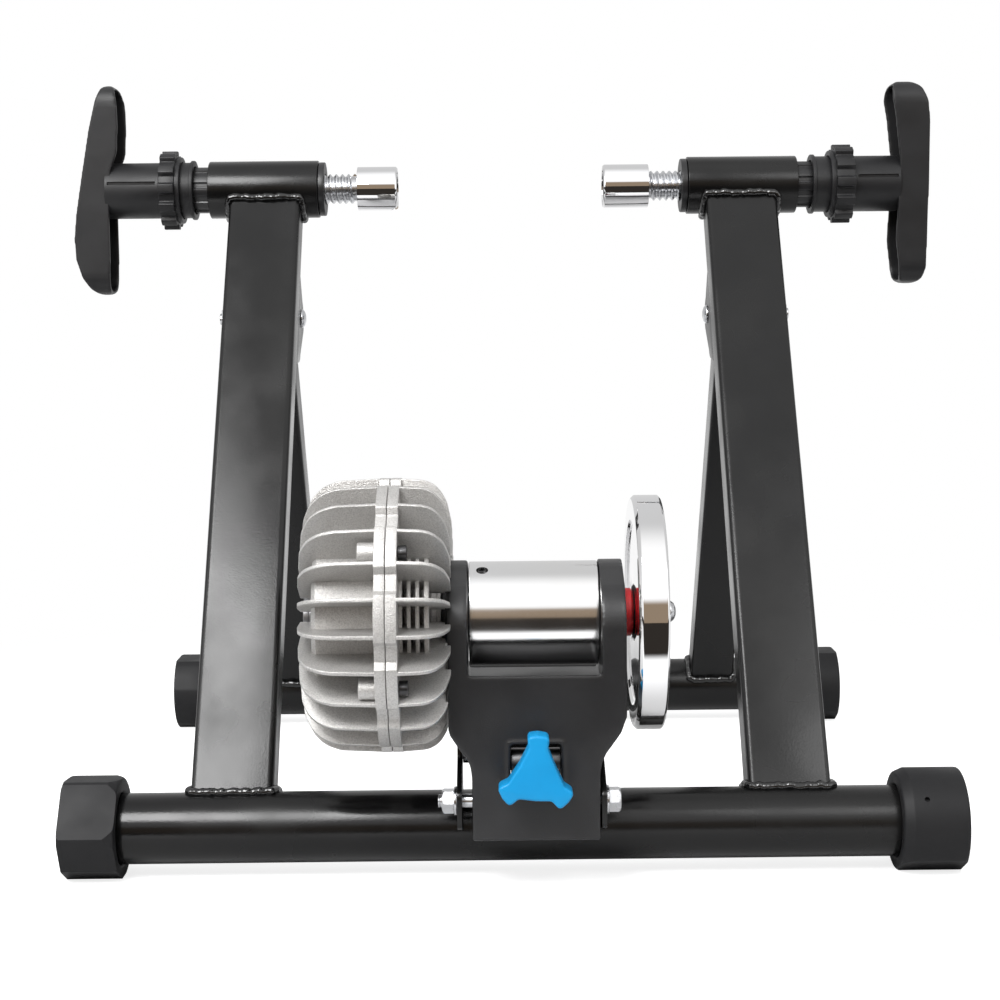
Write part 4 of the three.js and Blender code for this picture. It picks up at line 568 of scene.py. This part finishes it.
CUP_R = 15.3
CUP_END = 103.5
GRIP_X = 268
GRIP_WIDE = 34

# A handle's outer and inner outlines as shares of its depth and height, its depth and height,
# the cup's mouth, and the lock ring's start and length
GRIPS = {
    "left": (
        [(0.4, 0.499), (0.52, 0.42), (0.66, 0.28), (0.83, 0.055), (0.95, -0.115), (1, -0.23),
         (0.98, -0.33), (0.87, -0.417), (0.72, -0.473), (0.57, -0.5)],
        [(0.32, -0.5), (0.3, -0.32), (0.3, -0.13), (0.24, 0.09), (0.11, 0.18), (0.08, 0.3),
         (0.09, 0.42), (0.17, 0.499)],
        35.6, 147, 75.2, 228, 14,
    ),
    "right": (
        [(0.62, 0.5), (0.83, 0.47), (0.96, 0.4), (1, 0.3), (0.99, 0), (0.96, -0.28),
         (0.95, -0.42), (0.88, -0.48), (0.75, -0.5)],
        [(0.4, -0.5), (0.36, -0.4), (0.3, -0.28), (0.34, -0.12), (0.37, 0.12), (0.33, 0.2),
         (0.27, 0.33), (0.2, 0.42), (0.24, 0.5)],
        33.5, 142, 71.2, 231.6, 16,
    ),
}


def grip_block(outline, wide, tall, start):
    block = soft(box(-wide / 2, -tall / 2, wide / 2, tall / 2), wide / 2 - 2, 8)
    return carved(slab(outline, -wide / 2, wide / 2, "Y"), keeps=[slab(block, start, 312)])


def grip(outer, inner, deep, tall):
    """A tall shell, open toward the frame, with the stem's core across it."""
    wall = 2.8
    put = [(GRIP_X + deep * out, tall * up) for out, up in outer + inner]
    inside = [(x - wall, z * (1 - 2 * wall / tall)) for x, z in put[: len(outer)]]
    inside += [(250, inside[-1][1]), (250, inside[0][1])]
    body = grip_block(soft(put, 9, 5), GRIP_WIDE, tall, 255)
    hollow = grip_block(inside, GRIP_WIDE - 2 * wall, tall - 2 * wall, 245)
    core = carved(rod(276, 300, 14.5), keeps=[body])
    return carved(carved(body, [hollow]), adds=[core], voxel=0.85, smooth=3)


def grip_ridges(outer, deep, tall):
    """Fine ridges across the outer face, one above the other."""
    curve = [(GRIP_X + deep * out, tall * up) for out, up in outer]
    curve = [Vector(point) for point in soft(curve, 9, 5, False)]
    spots = []
    for a, b in zip(curve, curve[1:]):
        count = max(1, round((b - a).length / 2.1))
        spots += [a.lerp(b, k / count) for k in range(count)]
    spots = [p for p in spots if abs(p.y) < 0.4 * tall and p.x > GRIP_X + 0.75 * deep]
    ridge = rod(-10.5, 10.5, 0.75, 0.4, 16, "Y")
    return copies(ridge, [at((p.x - 0.35, 0, p.y)) for p in spots])


def stem(lock_end):
    """The stem between the lock ring and the grip, with its lip and its long slot."""
    profile = [(253, 0), (253, 17), (219, 17), (219, 20.9), (221.5, 20.9), (221.5, 19.6),
               (281, 19.6), (281, 0)]
    slot = slab(box(-26, 3, -17.8, 5.4), lock_end + 3, 279, "X")
    return carved(turned(soft(profile, 0.5, 3, False)), [slot])


def lock_ring(start, length):
    """A ring with twelve finger teeth and a thin flange."""
    outline = []
    for i in range(12):
        outline += arc((0, 0), 27.6, i * 30 - 6.5, i * 30 + 6.5, 5)
        outline += arc((0, 0), 24.6, i * 30 + 9, i * 30 + 21, 4)
    teeth = slab(soft(outline, 0.7, 2), start + 3.2, start + length, "X", 0.7, 3)
    bore = rod(start - 5, start + length + 5, 20, 0, 96)
    return [
        carved(teeth, [bore]),
        pipe(start, start + 3.9, 23.4, 20, 0.5),
        pipe(start + 3, start + length + 0.8, 22.6, 20, 0.5),
    ]


for side, mirror in SIDES:
    outer, inner, deep, tall, mouth, lock, lock_length = GRIPS[side]
    half = CLAMPS @ mirror
    turn = CLAMPS @ Matrix.Rotation(math.pi if side == "left" else 0, 4, "Z")
    piece(
        f"{side}_clamp_sleeve", "frame", "frame_paint", [pipe(131, 208.5, SLEEVE_R, 17, 0.8)], half,
        [f"{side}_sleeve"],
    )
    flange = [(126.4, 11), (126.4, 18.9), (130.7, 18.9), (130.7, 16.7), (157, 16.7), (157, 11)]
    piece(
        f"{side}_flanged_bush", "frame", "bush_plastic", [turned(soft(flange, 0.7, 3))], half,
        [f"{side}_inner_bush"],
    )
    splines = []
    for start in range(0, 360, 36):
        splines += arc((0, 0), 16.2, start, start + 19, 4)
        splines += arc((0, 0), 15.2, start + 21, start + 34, 3)
    bush = carved(slab(splines, 178.5, 227, "X", 0.3), [rod(170, 235, 11, 0)])
    piece(f"{side}_splined_bush", "frame", "bush_plastic", [bush], half, [f"{side}_outer_bush"])
    screw = [rod(95.5, 150, 8.75, 0.5), rod(149, 263, 10.4, 1), clamp_thread(103.8, 11, 4.4)]
    piece(f"{side}_screw", f"{side}_grip", "zinc", screw, turn, [f"{side}_clamp_screw"])

    floor = mouth + 17
    profile = [
        (floor, 0), (floor, 13.2), (mouth, 13.2), (mouth, 14.4), (mouth + 1.2, CUP_R),
        (CUP_END, CUP_R), (CUP_END, 6.3), (95.2, 6.3), (95.2, 0),
    ]
    cup = turned(soft(profile, 0.5, 3, False))
    if side == "left":
        cup = carved(cup, [moved(rod(-20, 0, 5.2, 0, axis="Z"), at((mouth, 0, 0)))])
    piece(f"{side}_axle_cup", f"{side}_clamp", "chrome", [cup], half, [f"{side}_cup"])
    profile = [
        (mouth + 13.7, 0), (mouth + 13.7, 10.3), (mouth + 0.8, 10.3), (mouth + 0.8, 12.9),
        (mouth + 16.7, 12.9), (mouth + 16.7, 0),
    ]
    piece(
        f"{side}_cup_lining", f"{side}_clamp", "dark_rubber",
        [turned(soft(profile, 0.4, 3, False))], half, [f"{side}_cup_liner"],
    )
    piece(
        f"{side}_tee_handle", f"{side}_grip", "grip_plastic",
        [
            grip(outer, inner, deep, tall), stem(lock + lock_length),
            *([grip_ridges(outer, deep, tall)] if side == "right" else []),
        ],
        half, [f"{side}_handle"],
    )
    piece(
        f"{side}_toothed_ring", f"{side}_lock", "grip_plastic", lock_ring(lock, lock_length),
        half, [f"{side}_lock_ring"],
    )


# Yoke, its ears and its pivot
YOKE_LEFT, YOKE_RIGHT = -35.7, 66.3
NECK_LEFT, NECK_RIGHT = -22.6, 50.8
ARM_LEFT, ARM_RIGHT = -24.2, 52.3
ROLLER_UP = ROLLER_Z - TUBE_Z
ROLLER_BACK = ROLLER_Y - REAR_Y
YOKE_FACE = -55
YOKE_FOOT = 5.5
YOKE_LIP = 101.5
YOKE_WALL = 5
LEFT_NECK = [(0, 0.2), (0.06, 0.28), (0.53, 0.55), (0.79, 0.66), (0.95, 0.82), (1, 1)]
RIGHT_NECK = [(0, 0), (0.09, 0.1), (0.2, 0.25), (0.445, 0.405), (0.77, 0.6), (0.94, 0.77), (1, 1)]


def yoke_side(head_steps):
    """The yoke's outline from the side, as (back, up) from the rear tube."""
    return [
        (YOKE_FACE, YOKE_FOOT), (-27.5, YOKE_FOOT), (-27.5, 64), (12, 97.5),
        *arc((ROLLER_BACK, ROLLER_UP), 31.5, -20, 118, head_steps),
        *arc((YOKE_FACE + 28, ROLLER_UP - 4), 28, 118, 180, head_steps // 3),
    ]


def yoke_lower(inset, top, foot):
    """The yoke's outline from the front: its neck and the width above it."""
    left = [(YOKE_LEFT + inset + 13.1 * a, 77 - 35 * d) for a, d in LEFT_NECK]
    right = [(YOKE_RIGHT - inset - 15.5 * a, 77 - 35 * d) for a, d in RIGHT_NECK]
    return [
        (YOKE_LEFT + inset, top), *soft(left, 8, 4, False), (NECK_LEFT + inset, foot),
        (NECK_RIGHT - inset, foot), *soft(right, 8, 4, False)[::-1], (YOKE_RIGHT - inset, top),
    ]


def yoke_casting():
    """Two arms on a hollow foot, with a window between the two cradles of the barrel.

    No two shapes in it share a face's plane, and the window is cut last, through all of them.
    """
    top = ROLLER_UP + 40
    face = [
        *yoke_lower(0, top, 1), (ARM_RIGHT, top), (ARM_RIGHT, YOKE_LIP),
        (ARM_LEFT, YOKE_LIP), (ARM_LEFT, top),
    ]
    hollow = slab(yoke_lower(YOKE_WALL, 92.5, 0.5), YOKE_FACE + YOKE_WALL, 45, "Y")
    axle = at((0, ROLLER_BACK, ROLLER_UP))
    window, rim = (
        box(NECK_MIDDLE - 14.5 - grown, 36 - grown, NECK_MIDDLE + 14.5 + grown, 62 + grown)
        for grown in (0, 1.8)
    )
    cradles = []
    for left in (NECK_MIDDLE - 20.7, NECK_MIDDLE + 14.6):
        cradle = slab(box(-51, 31.5, -34.6, 59.5), left, left + 6.1)
        slot = slab([*arc(BARREL_AT, 4.9, 0, 180, 12), (-49.9, 26), (-40.1, 26)], -20, 50)
        cradles.append(carved(cradle, [slot]))
    cuts = [
        hollow,
        moved(rod(ARM_LEFT - 8.6, ARM_LEFT + 5, 13.3, 0), axle),
        moved(rod(YOKE_RIGHT - 8.6, YOKE_RIGHT + 5, 13.3, 0), axle),
        moved(rod(-50, 80, 7.5, 0), axle),
        slab(box(-51.5, 94.6, 20, 115), ARM_LEFT - 0.3, ARM_RIGHT + 0.3),
        slab(box(-46.5, 111.5, -35.5, 119.5), ARM_LEFT - 5.5, ARM_LEFT + 5),
    ]
    casting = carved(slab(face, -60, 45, "Y"), keeps=[slab(yoke_side(48), -50, 80)])
    casting = carved(casting, cuts)
    adds = [
        moved(pipe(YOKE_LEFT - 3.9, YOKE_LEFT + 1, 17.3, 8, 0.6), axle),
        slab(rim, YOKE_FACE - 0.9, YOKE_FACE + 1, "Y", 0.4),
        *cradles,
    ]
    return carved(casting, [slab(window, -65, -49.5, "Y")], adds, voxel=1.05, smooth=2)


piece("yoke_casting", "yoke_arm", "yoke_paint", [yoke_casting()], REAR, ["yoke"])

EAR = [(-54, 12.5), (-5, -3), (-5, 59.5), (-22.5, 59.5), (-24.5, 46.5), (-54, 33)]
for side, start in (("left", NECK_LEFT - 8.9), ("right", NECK_RIGHT + 1)):
    holes = [
        rod(start - 5, start + 8, TUBE_R + 0.3, 0, 128),
        moved(rod(start - 5, start + 8, BOLT_R + 0.3, 0), at((0, *PIVOT_AT))),
        moved(rod(start - 5, start + 8, 5.3, 0), at((0, *CROSSBAR_AT))),
    ]
    ear = carved(slab(soft(EAR, 5, 8), start, start + SHEET, "X", 0.4), holes)
    piece(f"{side}_ear_plate", "frame", "frame_paint", [ear], REAR, [f"{side}_yoke_ear"])

bar = [
    (-31.5, 0), (-31.5, 5), (-28.2, 5), (-28.2, 7.5), (51.5, 7.5), (51.5, 5), (54.8, 5), (54.8, 0),
]
bar = carved(
    turned(soft(bar, 0.5, 3, False)),
    [moved(rod(-15, 15, 3.7, 0, axis="Y"), at((NECK_MIDDLE, 0, 0)))],
)
piece("ear_crossbar", "crossbar_pin", "zinc", [bar], CROSSBAR, ["crossbar"])


def bolt_head(flats, start, end):
    """A hexagon whose outer corners are turned away."""
    turned_off = [
        (start, 0), (start, flats), (end - 1.6, flats * 0.6), (end, flats * 0.49), (end, 0)
    ]
    return carved(slab(hexagon(flats), start, end), keeps=[turned(turned_off)])


def threads(start, end, radius, pitch, axis="X", sides=48):
    """A threaded length, whose crests are too fine for their lead to show."""
    count = round((end - start) / pitch)
    profile = [(start, 0), (start, radius - 0.35)]
    for i in range(count):
        profile += [(start + (i + 0.5) * pitch, radius), (start + (i + 1) * pitch, radius - 0.35)]
    return turned([*profile, (profile[-1][0], 0)], sides, axis)


piece(
    "pivot_hex_bolt", "frame", "zinc",
    [
        bolt_head(BOLT_FLATS, 56.8, 63.4), rod(-41, 58, BOLT_R, 0.4),
        threads(-42.5, -38, BOLT_R, 1.25),
    ],
    PIVOT, ["pivot_bolt"],
)
nut = carved(bolt_head(BOLT_FLATS, 0, 6.8), [rod(-5, 10, BOLT_R + 0.2, 0)])
piece(
    "pivot_hex_nut", "frame", "zinc", [nut],
    PIVOT @ at((-33.5, 0, 0)) @ Matrix.Rotation(math.pi, 4, "Z"), ["pivot_nut"],
)
for side, start in (("left", -33.2), ("right", 55.1)):
    piece(
        f"{side}_flat_washer", "frame", "zinc",
        [pipe(start, start + 1.4, 8.4, BOLT_R + 0.3, 0.25)], PIVOT, [f"{side}_washer"],
    )

# Adjuster
barrel = [
    (-20.5, 0), (-20.5, 4.6), (-14.2, 4.6), (-14.2, 8),
    (14.2, 8), (14.2, 4.6), (20.5, 4.6), (20.5, 0),
]
barrel = carved(turned(soft(barrel, 0.6, 3, False)), [rod(-12, 12, 3.3, 0, axis="Y")])
piece("adjuster_barrel", "saddle_pin", "black_steel", [barrel], SADDLE, ["saddle"])

# The knob's lobes, each with the direction and depth of the hollow after it
lobes = []
for lobe, middle, narrow in ((87, 149.5, 11.4), (212, 265.5, 14.2), (319, 23, 11.4)):
    turn = math.radians(lobe)
    along = Vector((math.cos(turn), math.sin(turn)))
    across = Vector((-along.y, along.x))
    for out, side in ((15.6, -5.5), (22.4, -6.4), (23.2, 0), (22.4, 6.4), (15.6, 5.5)):
        lobes.append(tuple(along * out + across * side))
    waist = math.radians(middle)
    lobes.append((narrow * math.cos(waist), narrow * math.sin(waist)))
head = slab(soft(lobes, 3.4, 6), -35.5, -20.5, "Y", 1.6, 4)
hub = rod(-21.5, -8.3, 7, 0.6, axis="Y")
piece("three_lobed_knob", "adjuster", "knob_plastic", [head, hub], SADDLE, ["knob"])
piece(
    "threaded_adjuster", "adjuster", "zinc",
    [threads(-29.5, 43.5, 3, 1.0, "Y", 32)], SADDLE, ["adjuster_rod"],
)

# Roller, shaft and flywheel
ROLLER_LEFT, ROLLER_RIGHT = -23.7, 51.8
ROLLER_R = 30.7
SHAFT_BORE = 5.3
profile = [
    (ROLLER_LEFT, SHAFT_BORE), (ROLLER_LEFT, ROLLER_R), (ROLLER_RIGHT, ROLLER_R),
    (ROLLER_RIGHT, 27.1), (ROLLER_LEFT + 14, 27.1), (ROLLER_LEFT + 14, 11), (ROLLER_RIGHT, 11),
    (ROLLER_RIGHT, SHAFT_BORE),
]
grub = turn_x(26) @ at((ROLLER_LEFT + 8, 0, 0))
body = carved(
    turned(soft(profile, 0.8, 4), 192), [moved(rod(20, 40, 3.5, 0, axis="Z"), grub)]
)
piece("chromed_roller", "rotor", "worn_chrome", [body], ROLLER, ["roller"])
socket = carved(
    rod(SHAFT_BORE, 26.5, 3.2, 0.3, axis="Z"), [slab(hexagon(3), 23, 30, "Z")]
)
piece("roller_grub_screw", "rotor", "bush_plastic", [moved(socket, grub)], ROLLER, ["grub_screw"])
piece(
    "red_collar", "rotor", "collar_plastic", [pipe(66.6, 71.6, 14.2, SHAFT_BORE, 0.6)],
    ROLLER, ["collar"],
)
WHEEL = [
    (71.9, SHAFT_BORE), (71.9, 15), (73.5, 17), (73.5, 53), (71.9, 55), (71.9, 66.9), (74, 69),
    (87.6, 69), (88.9, 67.7), (88.9, 55), (83.9, 52), (83.9, 18), (88.9, 15),
    (88.9, SHAFT_BORE),
]
piece(
    "chromed_flywheel", "rotor", "chrome", [turned(soft(WHEEL, 1.2, 5), 256)], ROLLER, ["flywheel"]
)
dome = [(93, 0), (93, 6.9), (95, 6.5), (97, 4.9), (98, 2.6), (98.2, 0)]
piece(
    "domed_axle_nut", "rotor", "zinc",
    [slab(hexagon(15), 89.2, 93.1, "X", 0.4, 2), turned(soft(dome, 0.5, 3, False))],
    ROLLER, ["dome_nut"],
)

# Fluid unit: two finned castings, built outward from the parting plane along X
FIN_R = 80.5
LEFT_CROWN = [
    (4.4, FIN_R), (30.3, 79.3), (39.1, 76.1), (45.7, 70), (49.9, 60.4), (51.4, 46.7), (51.4, 30),
]
RIGHT_CROWN = [(4.6, FIN_R), (21.2, 79.3), (27.5, 75.7), (32.5, 67.6), (35.3, 54.7), (35.3, 36)]


def fins(crown, roots):
    outline = [*soft(crown, 18, 6, False), *roots, (crown[0][0], roots[-1][1])]
    fin = slab(outline, -1.15, 1.15, "Y", 0.55, 3)
    return copies(fin, [turn_x(15 * i) for i in range(24)])


def flange(end, hole):
    """The bolted flange, with a raised block under each pair of fins."""
    outline = []
    for i in range(12):
        middle = i * 30 + 22.5
        outline += arc((0, 0), FIN_R, middle - 9.4, middle + 9.4, 8)
        outline += arc((0, 0), 76.3, middle + 11.4, middle + 18.6, 5)
    rim = slab(soft(outline, 1.6, 4), 0.15, end, "X", 0.55, 3)
    return carved(rim, [rod(-5, end + 5, hole, 0, 96)])


BOLTS = [turn_x(a) @ at((0, 0, 73)) for a in (53, 115, 233, 295)]
drum = [(0.15, 50), (0.15, 56), (40.5, 56), (43, 53), (43, 4.3), (36, 4.3), (36, 50)]
parts = [
    turned(soft(drum, 1, 4), 144), flange(6.4, 54),
    fins(LEFT_CROWN, [(41, 30), (41, 51), (38.5, 54)]),
    copies(rod(4.4, 15.8, 6.1, 0.9, 48), BOLTS),
]
piece(
    "left_finned_casting", "yoke_arm", "casting", [moved(joined(parts), MIRROR)], CASES,
    ["left_case"],
)
drum = [(0.15, 5.5), (0.15, 55)]
for groove in (8.4, 13.2, 18.1):
    drum += [(groove, 55), (groove, 34), (groove + 2.6, 34), (groove + 2.6, 55)]
drum += [(23.4, 55), (23.4, 16.5), (26.6, 16.5), (26.6, 18), (29.1, 18), (29.1, 5.5)]
room = moved(slab(yoke_side(24), 32, 45), at((0, 10, -ROLLER_UP)))
parts = [
    turned(soft(drum, 0.45, 3), 144),
    carved(flange(6.6, 53), [moved(rod(-2, 9, 2.8, 0), b) for b in BOLTS]),
    carved(fins(RIGHT_CROWN, [(21.4, 36), (21.4, 42)]), [room]),
]
piece("right_finned_casting", "yoke_arm", "casting", parts, CASES, ["right_case"])

for count, place in enumerate(BOLTS, 1):
    head = carved(rod(7.9, 11.9, 4.3, 0.5), [slab(hexagon(4), 9.2, 13)])
    collar = pipe(6.9, 8.1, 4.3, 2.4, 0.25)
    piece(
        f"socket_screw_{count}", "yoke_arm", "black_steel", [head, collar, rod(-10, 8.5, 2.5, 0.3)],
        CASES @ place, [f"case_bolt_{count}"],
    )
plug = carved(
    turned(soft([(-51.7, 0), (-51.7, 11.5), (-48.6, 11.5), (-48.6, 10.6), (-47.2, 10.6),
                 (-47.2, 11.5), (-43.3, 11.5), (-43.3, 0)], 0.4, 3, False)),
    [slab(hexagon(8), -54, -48.5)],
)
piece(
    "filler_screw_plug", "yoke_arm", "steel", [plug, rod(-44, -36, 4, 0.3)], CASES,
    ["filler_plug"],
)

# Camera, where the photograph was taken from, in metres and degrees
EYE = (-0.0067, -1.26655, 0.3362)
SENSOR, LENS = 36, 66.48
camera = bpy.data.objects.new("camera", bpy.data.cameras.new("camera"))
scene.collection.objects.link(camera)
scene.camera = camera
camera.data.sensor_width = SENSOR
camera.data.lens = LENS
camera.data.clip_start = 0.05
YAW, PITCH, ROLL = (math.radians(a) for a in (0.1, 5.8, -0.6))
ahead = Vector(
    (math.sin(YAW) * math.cos(PITCH), math.cos(YAW) * math.cos(PITCH), -math.sin(PITCH))
)
right = Vector((math.cos(YAW), -math.sin(YAW), 0))
up = right.cross(ahead)
across = math.cos(ROLL) * right + math.sin(ROLL) * up
above = -math.sin(ROLL) * right + math.cos(ROLL) * up
turned_to = Matrix((across, above, -ahead)).transposed().to_4x4()
camera.matrix_world = at(EYE) @ turned_to

# Floor, lamps and surroundings
def shading(tree):
    """Short calls that add to a node tree, its light path, and 1 where it is seen directly."""

    def put(made, sockets_and_values):
        for socket, value in sockets_and_values:
            if isinstance(value, bpy.types.NodeSocket):
                tree.links.new(value, socket)
            else:
                socket.default_value = value
        return made

    def node(kind, **values):
        made = tree.nodes.new(f"ShaderNode{kind}")
        return put(made, [(made.inputs[name], value) for name, value in values.items()])

    def math_of(operation, a, b=0.0):
        made = tree.nodes.new("ShaderNodeMath")
        made.operation = operation
        return put(made, zip(made.inputs, (a, b))).outputs[0]

    def step(value, low, high, at_low=0.0, at_high=1.0):
        made = tree.nodes.new("ShaderNodeMapRange")
        made.interpolation_type = "SMOOTHSTEP"
        return put(made, zip(made.inputs, (value, low, high, at_low, at_high))).outputs["Result"]

    rays = node("LightPath").outputs
    seen = math_of("MAXIMUM", rays["Is Camera Ray"], rays["Is Glossy Ray"])
    seen = math_of("MAXIMUM", seen, rays["Is Transmission Ray"])
    return node, math_of, step, rays, seen


def paper():
    """White paper that keeps a faint shadow and fades into the white room around it.

    Polished metal sees it brighter near the yoke, and sees it end short of the camera.
    """
    made = bpy.data.materials.new("paper")
    made.use_nodes = True
    tree = made.node_tree
    tree.nodes.remove(tree.nodes["Principled BSDF"])
    node, math_of, step, rays, seen = shading(tree)
    spot = node("SeparateXYZ", Vector=node("TexCoord").outputs["Object"]).outputs
    squares = [math_of("POWER", spot[axis], 2) for axis in "XY"]
    reach = math_of("SQRT", math_of("ADD", *squares))

    lit = math_of("MULTIPLY", rays["Is Glossy Ray"], step(spot["Y"], -0.36, -0.24, 0.4, 0.0))
    glow = math_of("ADD", math_of("MULTIPLY", rays["Is Camera Ray"], 0.78), lit)
    near = node("AddShader")
    tree.links.new(node("BsdfDiffuse", Color=(0.72, 0.72, 0.725, 1)).outputs[0], near.inputs[0])
    tree.links.new(node("Emission", Strength=glow).outputs[0], near.inputs[1])

    far = node("Emission", Strength=step(seen, 0, 1, 0.35, 1.0))
    white = node("MixShader", Fac=step(reach, 0.42, 0.8))
    tree.links.new(near.outputs[0], white.inputs[1])
    tree.links.new(far.outputs[0], white.inputs[2])

    ended = math_of("MULTIPLY", rays["Is Glossy Ray"], step(spot["Y"], -0.5, -0.42, 1.0, 0.0))
    dark = node("Emission", Color=(0.035, 0.03, 0.026, 1))
    whole = node("MixShader", Fac=ended)
    tree.links.new(white.outputs[0], whole.inputs[1])
    tree.links.new(dark.outputs[0], whole.inputs[2])
    tree.links.new(whole.outputs[0], tree.nodes["Material Output"].inputs["Surface"])
    return made


def studio():
    """A white room; polished metal sees a warm dark wall low behind the camera."""
    made = bpy.data.worlds.new("studio")
    made.use_nodes = True
    tree = made.node_tree
    node, math_of, step, rays, seen = shading(tree)
    way = node("SeparateXYZ", Vector=node("TexCoord").outputs["Generated"]).outputs
    behind = step(way["Y"], -0.75, -0.45, 1.0, 0.0)
    wall = math_of("MULTIPLY", behind, step(way["Z"], 0.26, 0.38, 1.0, 0.0))
    tone = node("Mix")
    tone.data_type = "RGBA"
    tone.inputs["A"].default_value = (1, 1, 1, 1)
    tone.inputs["B"].default_value = (0.27, 0.205, 0.145, 1)
    tree.links.new(math_of("MULTIPLY", wall, rays["Is Glossy Ray"]), tone.inputs["Factor"])
    tree.links.new(tone.outputs["Result"], tree.nodes["Background"].inputs["Color"])

    brighter = math_of("SUBTRACT", step(way["Y"], -0.35, 0.3, 1.25, 0.72), 1.0)
    brighter = math_of("MULTIPLY", brighter, rays["Is Glossy Ray"])
    power = math_of("ADD", step(seen, 0, 1, 0.35, 1.0), brighter)
    tree.links.new(power, tree.nodes["Background"].inputs["Strength"])
    return made


bm = bmesh.new()
bmesh.ops.create_grid(bm, x_segments=1, y_segments=1, size=6)
floor = plain_object("floor", bm)
floor.data.materials.append(paper())
scene.world = studio()


def lamp(name, place, target, size, watts):
    light = bpy.data.lights.new(name, "AREA")
    light.size = size
    light.energy = watts
    made = bpy.data.objects.new(name, light)
    scene.collection.objects.link(made)
    aim = Vector(target) - Vector(place)
    made.matrix_world = at(place) @ aim.to_track_quat("-Z", "Y").to_matrix().to_4x4()
    return made


fill = lamp("top_softbox", (0.1, 0.1, 1.9), (0, 0, 0.2), 1.6, 9)
fill.visible_glossy = False
lamp("rear_softbox", (-0.66, -1.29, 1.42), (0, -0.1, 0.15), 0.8, 32)
lamp("second_softbox", (0.8, -1.3, 1.3), (0, -0.1, 0.15), 0.6, 4)
lamp("left_softbox", (-1.5, -0.9, 1.0), (0, 0, 0.25), 0.9, 4)
lamp("right_softbox", (1.6, -0.9, 0.9), (0, 0, 0.25), 0.9, 2)
